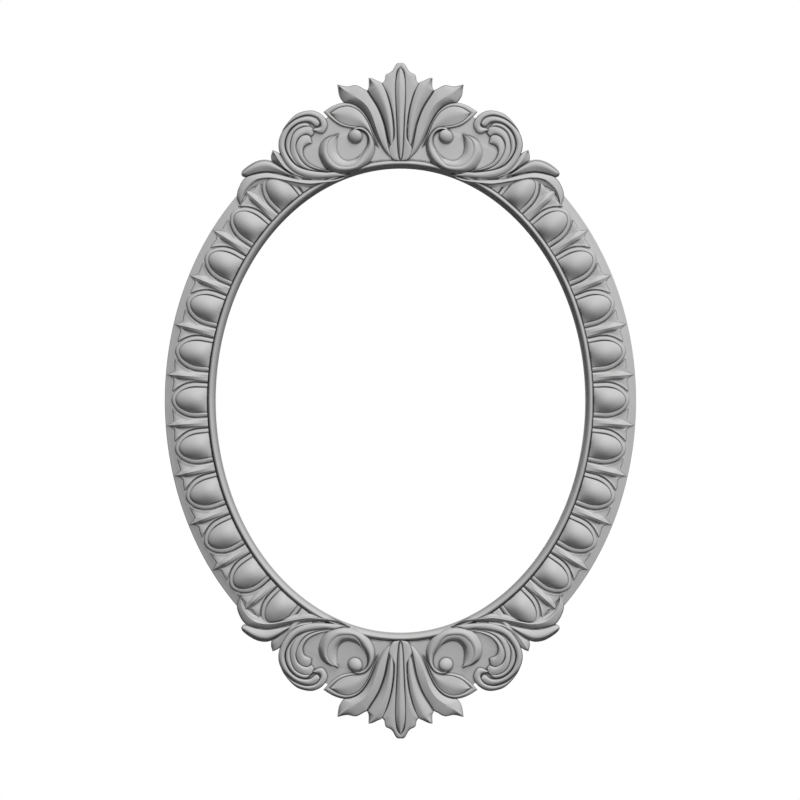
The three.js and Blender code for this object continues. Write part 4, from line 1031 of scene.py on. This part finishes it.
def board_outline(lap=0.0):
    """The board's edge from its left-hand corner along its foot, which may lap over the ring."""
    half = smooth_line(board_edge, 5)
    angle = math.acos(BOARD_FOOT_SHARE)
    angles = np.linspace(math.pi - angle, angle, 160)
    in_middle = eased(np.abs(np.cos(angles)) * outer[0], LAP_ENDS, FULL_LAP)
    lapping = FRONT_LAP + (BOARD_REACH - FRONT_LAP) * in_middle
    line = np.stack(ring_place(angles, FACE[0] + 0.3 - lap * lapping), -1)
    return np.vstack([line, half[::-1], half[1:-1] * [-1, 1]])


# %% The board and its leaning front
def crest_board():
    """The board behind the ring's edge, and a front over it that laps on to the ring."""
    outline = board_outline()
    way = np.roll(outline, -3, 0) - np.roll(outline, 3, 0)
    inward = unit(np.stack([-way[:, 1], way[:, 0]], -1))
    outline += inward * BOARD_INSET
    lapped = board_outline(lap=1.0) + inward * BOARD_INSET
    rim = []
    for inset, above_back in SOFT_BACK_EDGE:
        across, up = (outline + inward * inset).T
        rim.append(points_of(across, above_back - BOARD_THICKNESS, up))
    for line, lower in ((outline, FRONT_EDGE), (lapped, FRONT_EDGE), (lapped, 0)):
        rim.append(points_of(line[:, 0], board_front(line) - lower, line[:, 1]))
    points, faces = joined(np.array(rim))
    grid = [Vector((x, y)) for x in np.arange(*GRID_ACROSS) for y in np.arange(*GRID_UP)]
    border = [Vector(spot) for spot in lapped]
    loop = list(range(len(border)))
    flat, _, triangles, *_ = delaunay_2d_cdt(border + grid, [], [loop], 1, 1e-5)
    spots = np.array(flat)
    front = points_of(spots[:, 0], board_front(spots), spots[:, 1])
    first = len(points)
    faces = faces[:-1] + [tuple(first + corner for corner in face) for face in triangles]
    return np.vstack([points, front]), faces


# %% Seating the crests
board_skin = crest_board()
for end, up in (("top", 1), ("bottom", -1)):
    whole_leaf = palmette_half + flipped(palmette_half, across=-1)
    for name, skins in (("crest_board", [board_skin]), ("palmette", whole_leaf),
                        ("palmette_rib", [palmette_rib])):
        seat(f"{end}_{name}", flipped(skins, up=up), paint, back=bare_wood)
    for side, across in (("left", -1), ("right", 1)):
        for name, skins in (("calyx_leaf", calyx_leaf), ("c_scroll", c_scroll),
                            ("feather_scroll", feather_scroll), ("spray_leaf", spray_leaf)):
            seat(f"{end}_{name}_{side}", flipped(skins, across=across, up=up), paint)
print("two crests, each of a board, a palmette, a rib and eight leaves and scrolls")

# %% [markdown]
# ## Inside the wood
# Loose tongues lock the rails end to end and dowels pin the crest boards. They are hidden, and their
# shape in the frame is right, so they keep it and only take the wood's finish.

# %% Tongues and dowels
for name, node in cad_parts.items():
    if name.startswith(("tongue_", "dowel_")):
        node.data.materials.clear()
        node.data.materials.append(bare_wood)

# %% [markdown]
# ## Turn buttons
# Four brass buttons swing over the back of the rebate to hold what is framed. Each is stamped from
# sheet, so it has one outline with round ends, edges that the die has rolled over on the side that
# faces out, and a pierced hole. Drawing the outline as seen from the hole lets the same rings close
# in from the rim to the hole.

# %% The turn buttons
BUTTON_LENGTH, BUTTON_WIDTH, BUTTON_THICKNESS = 32.0, 11.0, 1.6
BUTTON_OVERHANG, BUTTON_ANGLE = 4.0, 42
BUTTON_TURNS = (BUTTON_ANGLE, 180 - BUTTON_ANGLE, 180 + BUTTON_ANGLE, -BUTTON_ANGLE)
GAP = 0.3
SCREW_HOLE = 1.9


def stadium(angles, inset):
    """How far a plate with round ends reaches from its hole, at angles round the hole."""
    radius = BUTTON_WIDTH / 2 - inset
    straight = BUTTON_LENGTH - BUTTON_WIDTH
    reach = []
    for angle in angles:
        c, s = math.cos(angle), math.sin(angle)
        far = straight * c + math.sqrt(max(radius**2 - (straight * s) ** 2, 0)) if c > 0 else 0
        side = radius / abs(s) if abs(s) > 1e-9 else 1e9
        if c > 0 and side * c <= straight:
            reach.append(side)
        elif c > 0:
            reach.append(far)
        else:
            reach.append(radius)
    return np.array(reach)


def button_skin(pivot, way):
    """A stamped plate on the back, from its inner face round its rim to its outer face."""
    tip = math.asin(BUTTON_WIDTH / 2 / math.hypot(BUTTON_WIDTH / 2, BUTTON_LENGTH - BUTTON_WIDTH))
    half = np.concatenate([np.linspace(0, tip, 16), np.linspace(tip, math.pi, 26)[1:-1]])
    angles = np.concatenate([half, [math.pi], -half[:0:-1]])
    rings = [(None, GAP), (0.0, GAP), (0.0, GAP + 1.1), (0.12, GAP + 1.4), (0.4, GAP + 1.57),
             (0.9, GAP + BUTTON_THICKNESS), (None, GAP + BUTTON_THICKNESS)]
    out_way, side_way = -np.array(way), np.array([way[1], -way[0]])
    sections = []
    for inset, behind in rings:
        reach = np.full(len(angles), SCREW_HOLE) if inset is None else stadium(angles, inset)
        spots = (np.array(pivot) + (reach * np.cos(angles))[:, None] * out_way
                 + (reach * np.sin(angles))[:, None] * side_way)
        sections.append(points_of(spots[:, 0], -WOOD_THICKNESS - behind, spots[:, 1]))
    return joined(np.array(sections), closed=True)


# %% [markdown]
# ## Screws
# The screws have a domed head with one slot. The head is turned like any screw, and the slot is then
# cut from it with a boolean, because that is also how it is made: a saw runs across a finished head.

# %% The slotted screws
SCREW_RADIUS, SCREW_LENGTH, HEAD_RADIUS, HEAD_RISE = 1.6, 12.0, 3.4, 1.5
SCREW_POINT, HEAD_RIM = 2.5, 0.35
SLOT_WIDTH, SLOT_DEPTH = 0.7, 0.8


def screw_skin(place, seat_height):
    """A screw driven into the back at a place, its head on what it holds."""
    base = -WOOD_THICKNESS
    profile = [(0.01, base + SCREW_LENGTH), (SCREW_RADIUS, base + SCREW_LENGTH - SCREW_POINT),
               (SCREW_RADIUS, base - seat_height), (HEAD_RADIUS, base - seat_height)]
    for turn in np.linspace(0.1, 1, 8) * math.pi / 2:
        dome = HEAD_RIM + (HEAD_RISE - HEAD_RIM) * math.sin(turn)
        profile.append((max(HEAD_RADIUS * math.cos(turn), 0.01), base - seat_height - dome))
    return lathed(profile, place, sides=32)


def saw_slot(piece, place, top, turn):
    """Cuts the slot in a screw's head."""
    half = np.array([HEAD_RADIUS + 0.5, SLOT_WIDTH / 2])
    corners = np.array([(-1, -1), (1, -1), (1, 1), (-1, 1)]) * half
    c, s = math.cos(turn), math.sin(turn)
    corners = corners @ np.array([[c, s], [-s, c]]) + np.array(place)
    layers = [points_of(corners[:, 0], proud, corners[:, 1]) for proud in (top + SLOT_DEPTH, top - 1)]
    saw = mesh_from("saw", [joined(np.array(layers))])
    cut = piece.modifiers.new("slot", "BOOLEAN")
    cut.object, cut.operation, cut.solver = saw, "DIFFERENCE", "EXACT"
    bpy.context.view_layer.update()
    made = bpy.data.meshes.new_from_object(piece.evaluated_get(bpy.context.evaluated_depsgraph_get()))
    piece.modifiers.clear()
    piece.data = made
    made.set_sharp_from_angle(angle=math.radians(34))
    bpy.data.objects.remove(saw)


def seat_screw(node, place, seat_height, turn):
    piece = seat(node, [screw_skin(place, seat_height)], steel)
    saw_slot(piece, place, -WOOD_THICKNESS - seat_height - HEAD_RISE, turn)


# %% Seating the buttons
for number, quarter in enumerate(QUARTERS):
    angle = math.radians(BUTTON_TURNS[number])
    normal = np.array([math.cos(angle) / SIGHT[0], math.sin(angle) / SIGHT[1]])
    way = normal / np.linalg.norm(normal)
    pivot = np.array(ring_place(angle, REBATE_LIP)) + way * (
        BUTTON_LENGTH - BUTTON_WIDTH / 2 - BUTTON_OVERHANG
    )
    seat("turn_button_" + quarter, [button_skin(pivot, way)], brass,
         body="turn_button_" + quarter)
    seat_screw("button_screw_" + quarter, pivot, BUTTON_THICKNESS + 2 * GAP, 0.4 + 1.1 * number)
print("four buttons on their screws")

# %% [markdown]
# ## The hanger
# A steel strap is screwed to the back near the top. Its middle is rolled over the straight side of a
# wire ring, which hangs on the wall hook and swings up and back. The roll is a strip whose section
# is a hook shape, and the ring is a round section carried along a closed line.

# %% The hanger's plate and ring
HANGER_WIDTH, HANGER_HEIGHT, HANGER_THICKNESS = 46.0, 13.0, 1.2
HANGER_DROP, HANGER_SCREW_SPREAD = 30.0, 16.0
RING_WIRE, RING_WIDTH, RING_HEIGHT, RING_CORNER = 2.4, 24.0, 20.0, 4.0
KNUCKLE_WIDTH, KNUCKLE_WALL, KNUCKLE_SUNK = 12.0, 1.0, 0.15
hanger_line = outer[1] - HANGER_DROP
wire_behind = HANGER_THICKNESS + 2 * GAP + RING_WIRE / 2


def hanger_plate():
    """The strap, as rings that close in from its rim, with its roll as a second skin."""
    radius = HANGER_HEIGHT / 2
    turns = np.linspace(-math.pi / 2, math.pi / 2, 15)
    end = HANGER_WIDTH / 2 - radius
    middle = hanger_line - radius
    sections = []
    for inset, behind in ((0, GAP), (0, GAP + 0.8), (0.15, GAP + 1.1), (0.5, GAP + HANGER_THICKNESS)):
        r = radius - inset
        right = np.stack([end + r * np.cos(turns), middle + r * np.sin(turns)], -1)
        left = np.stack([-end - r * np.cos(turns), middle - r * np.sin(turns)], -1)
        across, up = np.vstack([right, left]).T
        sections.append(points_of(across, -WOOD_THICKNESS - behind, up))
    return [joined(np.array(sections)), rolled_knuckle()]


def rolled_knuckle():
    """The strip that leaves the plate and rolls round the ring's wire."""
    inner = RING_WIRE / 2 + GAP
    middle_line = inner + KNUCKLE_WALL / 2
    turns = np.radians(np.linspace(180, -130, 32))
    roll = [(wire_behind + middle_line * math.cos(t), middle_line * math.sin(t)) for t in turns]
    flat = wire_behind - middle_line - KNUCKLE_SUNK
    centre = np.array([(flat, -7.0), (flat, -3.0), *roll])
    way = np.gradient(centre, axis=0)
    side = unit(np.stack([-way[:, 1], way[:, 0]], -1))
    outline = np.vstack([centre + side * KNUCKLE_WALL / 2, (centre - side * KNUCKLE_WALL / 2)[::-1]])
    half = KNUCKLE_WIDTH / 2
    sections = [
        points_of(across, -WOOD_THICKNESS - outline[:, 0], hanger_line + outline[:, 1])
        for across in (-half, -half + 0.2, half - 0.2, half)
    ]
    return joined(np.array(sections))


def hanger_ring():
    """The wire ring: a straight side in the roll, two corners and a tall arch."""
    half = (RING_WIDTH - RING_WIRE) / 2
    rise = RING_HEIGHT - RING_WIRE / 2 - RING_CORNER

    def arc(centre, wide, high, start, end, count):
        turns = np.radians(np.linspace(start, end, count))
        return np.stack([centre + wide * np.cos(turns), RING_CORNER + high * np.sin(turns)], -1)

    line = np.vstack(
        [
            arc(half - RING_CORNER, RING_CORNER, RING_CORNER, -90, -8, 9),
            arc(0, half, rise, 0, 180, 48),
            arc(RING_CORNER - half, RING_CORNER, RING_CORNER, 188, 270, 9),
        ]
    )
    way = np.roll(line, -1, 0) - np.roll(line, 1, 0)
    out_way = unit(np.stack([way[:, 1], -way[:, 0]], -1))
    turns = np.linspace(0, 2 * math.pi, 16, endpoint=False)
    reach = RING_WIRE / 2 * np.cos(turns)
    proud = -WOOD_THICKNESS - wire_behind + RING_WIRE / 2 * np.sin(turns)
    sections = []
    for spot, way in zip(line, out_way):
        up = hanger_line + spot[1] + way[1] * reach
        sections.append(points_of(spot[0] + way[0] * reach, proud, up))
    return joined(np.array(sections), closed=True)


seat("hanger_plate", hanger_plate(), steel)
seat("hanger_ring", [hanger_ring()], steel, body="hanger_ring")
for side, across in (("left", -1), ("right", 1)):
    spot = (across * HANGER_SCREW_SPREAD, hanger_line - HANGER_HEIGHT / 2)
    seat_screw("hanger_screw_" + side, spot, HANGER_THICKNESS + 2 * GAP, 0.9 + across * 0.6)
print("the hanger, its ring and two screws")

# %% [markdown]
# ## Bumpers
# Two felt discs at the bottom keep the frame off the wall by as much as the hanger does. Felt is cut
# with a punch, so the disc has a soft shoulder and a slightly swollen side.

# %% The felt bumpers
BUMPER_RADIUS, BUMPER_ANGLE = 6.0, 24
bumper_thickness = wire_behind + RING_WIRE / 2 + GAP + KNUCKLE_WALL
bumper_profile = [
    (0.01, 0), (5.6, 0), (5.85, 0.4), (BUMPER_RADIUS, bumper_thickness * 0.5),
    (5.9, bumper_thickness - 0.9), (5.55, bumper_thickness - 0.3), (5.0, bumper_thickness - 0.03),
    (2.5, bumper_thickness), (0.01, bumper_thickness),
]
for side, across in (("left", -1), ("right", 1)):
    spot = ring_place(math.radians(-90 + across * BUMPER_ANGLE), FACE[0] / 2)
    turned = lathed([(r, -WOOD_THICKNESS - behind) for r, behind in bumper_profile], spot, 48)
    seat("bumper_" + side, [turned], felt)

# %% [markdown]
# ## The studio
# The photograph looks straight at the frame through a long lens, so the camera here is parallel and
# its scale is the real width of the picture. The light comes from high on the right, well in front,
# which leaves the left and lower walls of the carving dark. Two lamps share it: the main one shapes
# the relief without shadows, and a soft one adds them faintly. A third lamp lights the back of the
# wood. The world is white only to the camera and to reflections, and lights the object weakly.

# %% The camera
PICTURE_WIDTH = 0.864
OFF_CENTRE = (-0.0005, 0.00076)
camera = bpy.data.objects.new("camera", bpy.data.cameras.new("camera"))
camera.data.type = "ORTHO"
camera.data.ortho_scale = PICTURE_WIDTH
camera.location = (OFF_CENTRE[0], -3, middle_z + OFF_CENTRE[1])
camera.rotation_euler = (math.pi / 2, 0, 0)
bpy.context.scene.collection.objects.link(camera)
bpy.context.scene.camera = camera

# %% The lamps
TOWARD_LIGHT = Vector((0.29, -0.63, 0.72))


def sun(name, toward, energy, spread, shadows):
    """A lamp whose light comes from one direction."""
    lamp = bpy.data.objects.new(name, bpy.data.lights.new(name, "SUN"))
    lamp.data.energy = energy
    lamp.data.angle = math.radians(spread)
    lamp.data.use_shadow = shadows
    lamp.location = toward * 3
    lamp.rotation_euler = toward.to_track_quat("Z", "Y").to_euler()
    bpy.context.scene.collection.objects.link(lamp)


sun("main light", TOWARD_LIGHT, 3.2, 12, False)
sun("soft light", TOWARD_LIGHT, 0.8, 35, True)
sun("light from behind", Vector((-0.5, 1, 0.02)), 2.0, 25, True)

# %% The world and the floor
WORLD_LIGHT = 0.02


def seen_directly(tree):
    """1 for what the camera, a reflection or glass looks at, and 0 for light that spreads."""
    path = add_node(tree, "ShaderNodeLightPath").outputs
    mirror = calculated(tree, "MAXIMUM", path["Is Glossy Ray"], path["Is Transmission Ray"])
    return calculated(tree, "MAXIMUM", path["Is Camera Ray"], mirror)


world = bpy.data.worlds.new("studio")
world.use_nodes = True
bpy.context.scene.world = world
sky = world.node_tree
feed(sky, (1, 1, 1), sky.nodes["Background"].inputs["Color"])
strength = ranged(sky, seen_directly(sky), 0, 1, WORLD_LIGHT, 1)
feed(sky, strength, sky.nodes["Background"].inputs["Strength"])

floor_mesh = bpy.data.meshes.new("floor")
reach, low = 6.0, cad_box[0].z
floor_mesh.from_pydata(
    [(-reach, -reach, low), (reach, -reach, low), (reach, reach, low), (-reach, reach, low)],
    [], [(0, 1, 2, 3)],
)
floor = bpy.data.objects.new("floor", floor_mesh)
bpy.context.scene.collection.objects.link(floor)
pale = bpy.data.materials.new("Pale floor")
pale.use_nodes = True
tree = pale.node_tree
shown = mixed(tree, seen_directly(tree), (0.02, 0.02, 0.02), (0.86, 0.86, 0.86))
feed(tree, shown, tree.nodes["Principled BSDF"].inputs["Base Color"])
feed(tree, 0.8, tree.nodes["Principled BSDF"].inputs["Roughness"])
floor_mesh.materials.append(pale)

# %% [markdown]
# ## Last settings
# Standard view keeps the colours as they are written. The frame's box is printed, so that the
# finished model can be held against the frame's own size.

# %% Finish
bpy.context.scene.view_settings.view_transform = "Standard"
print("frame box", [[round(v, 4) for v in c] for c in cad_box])
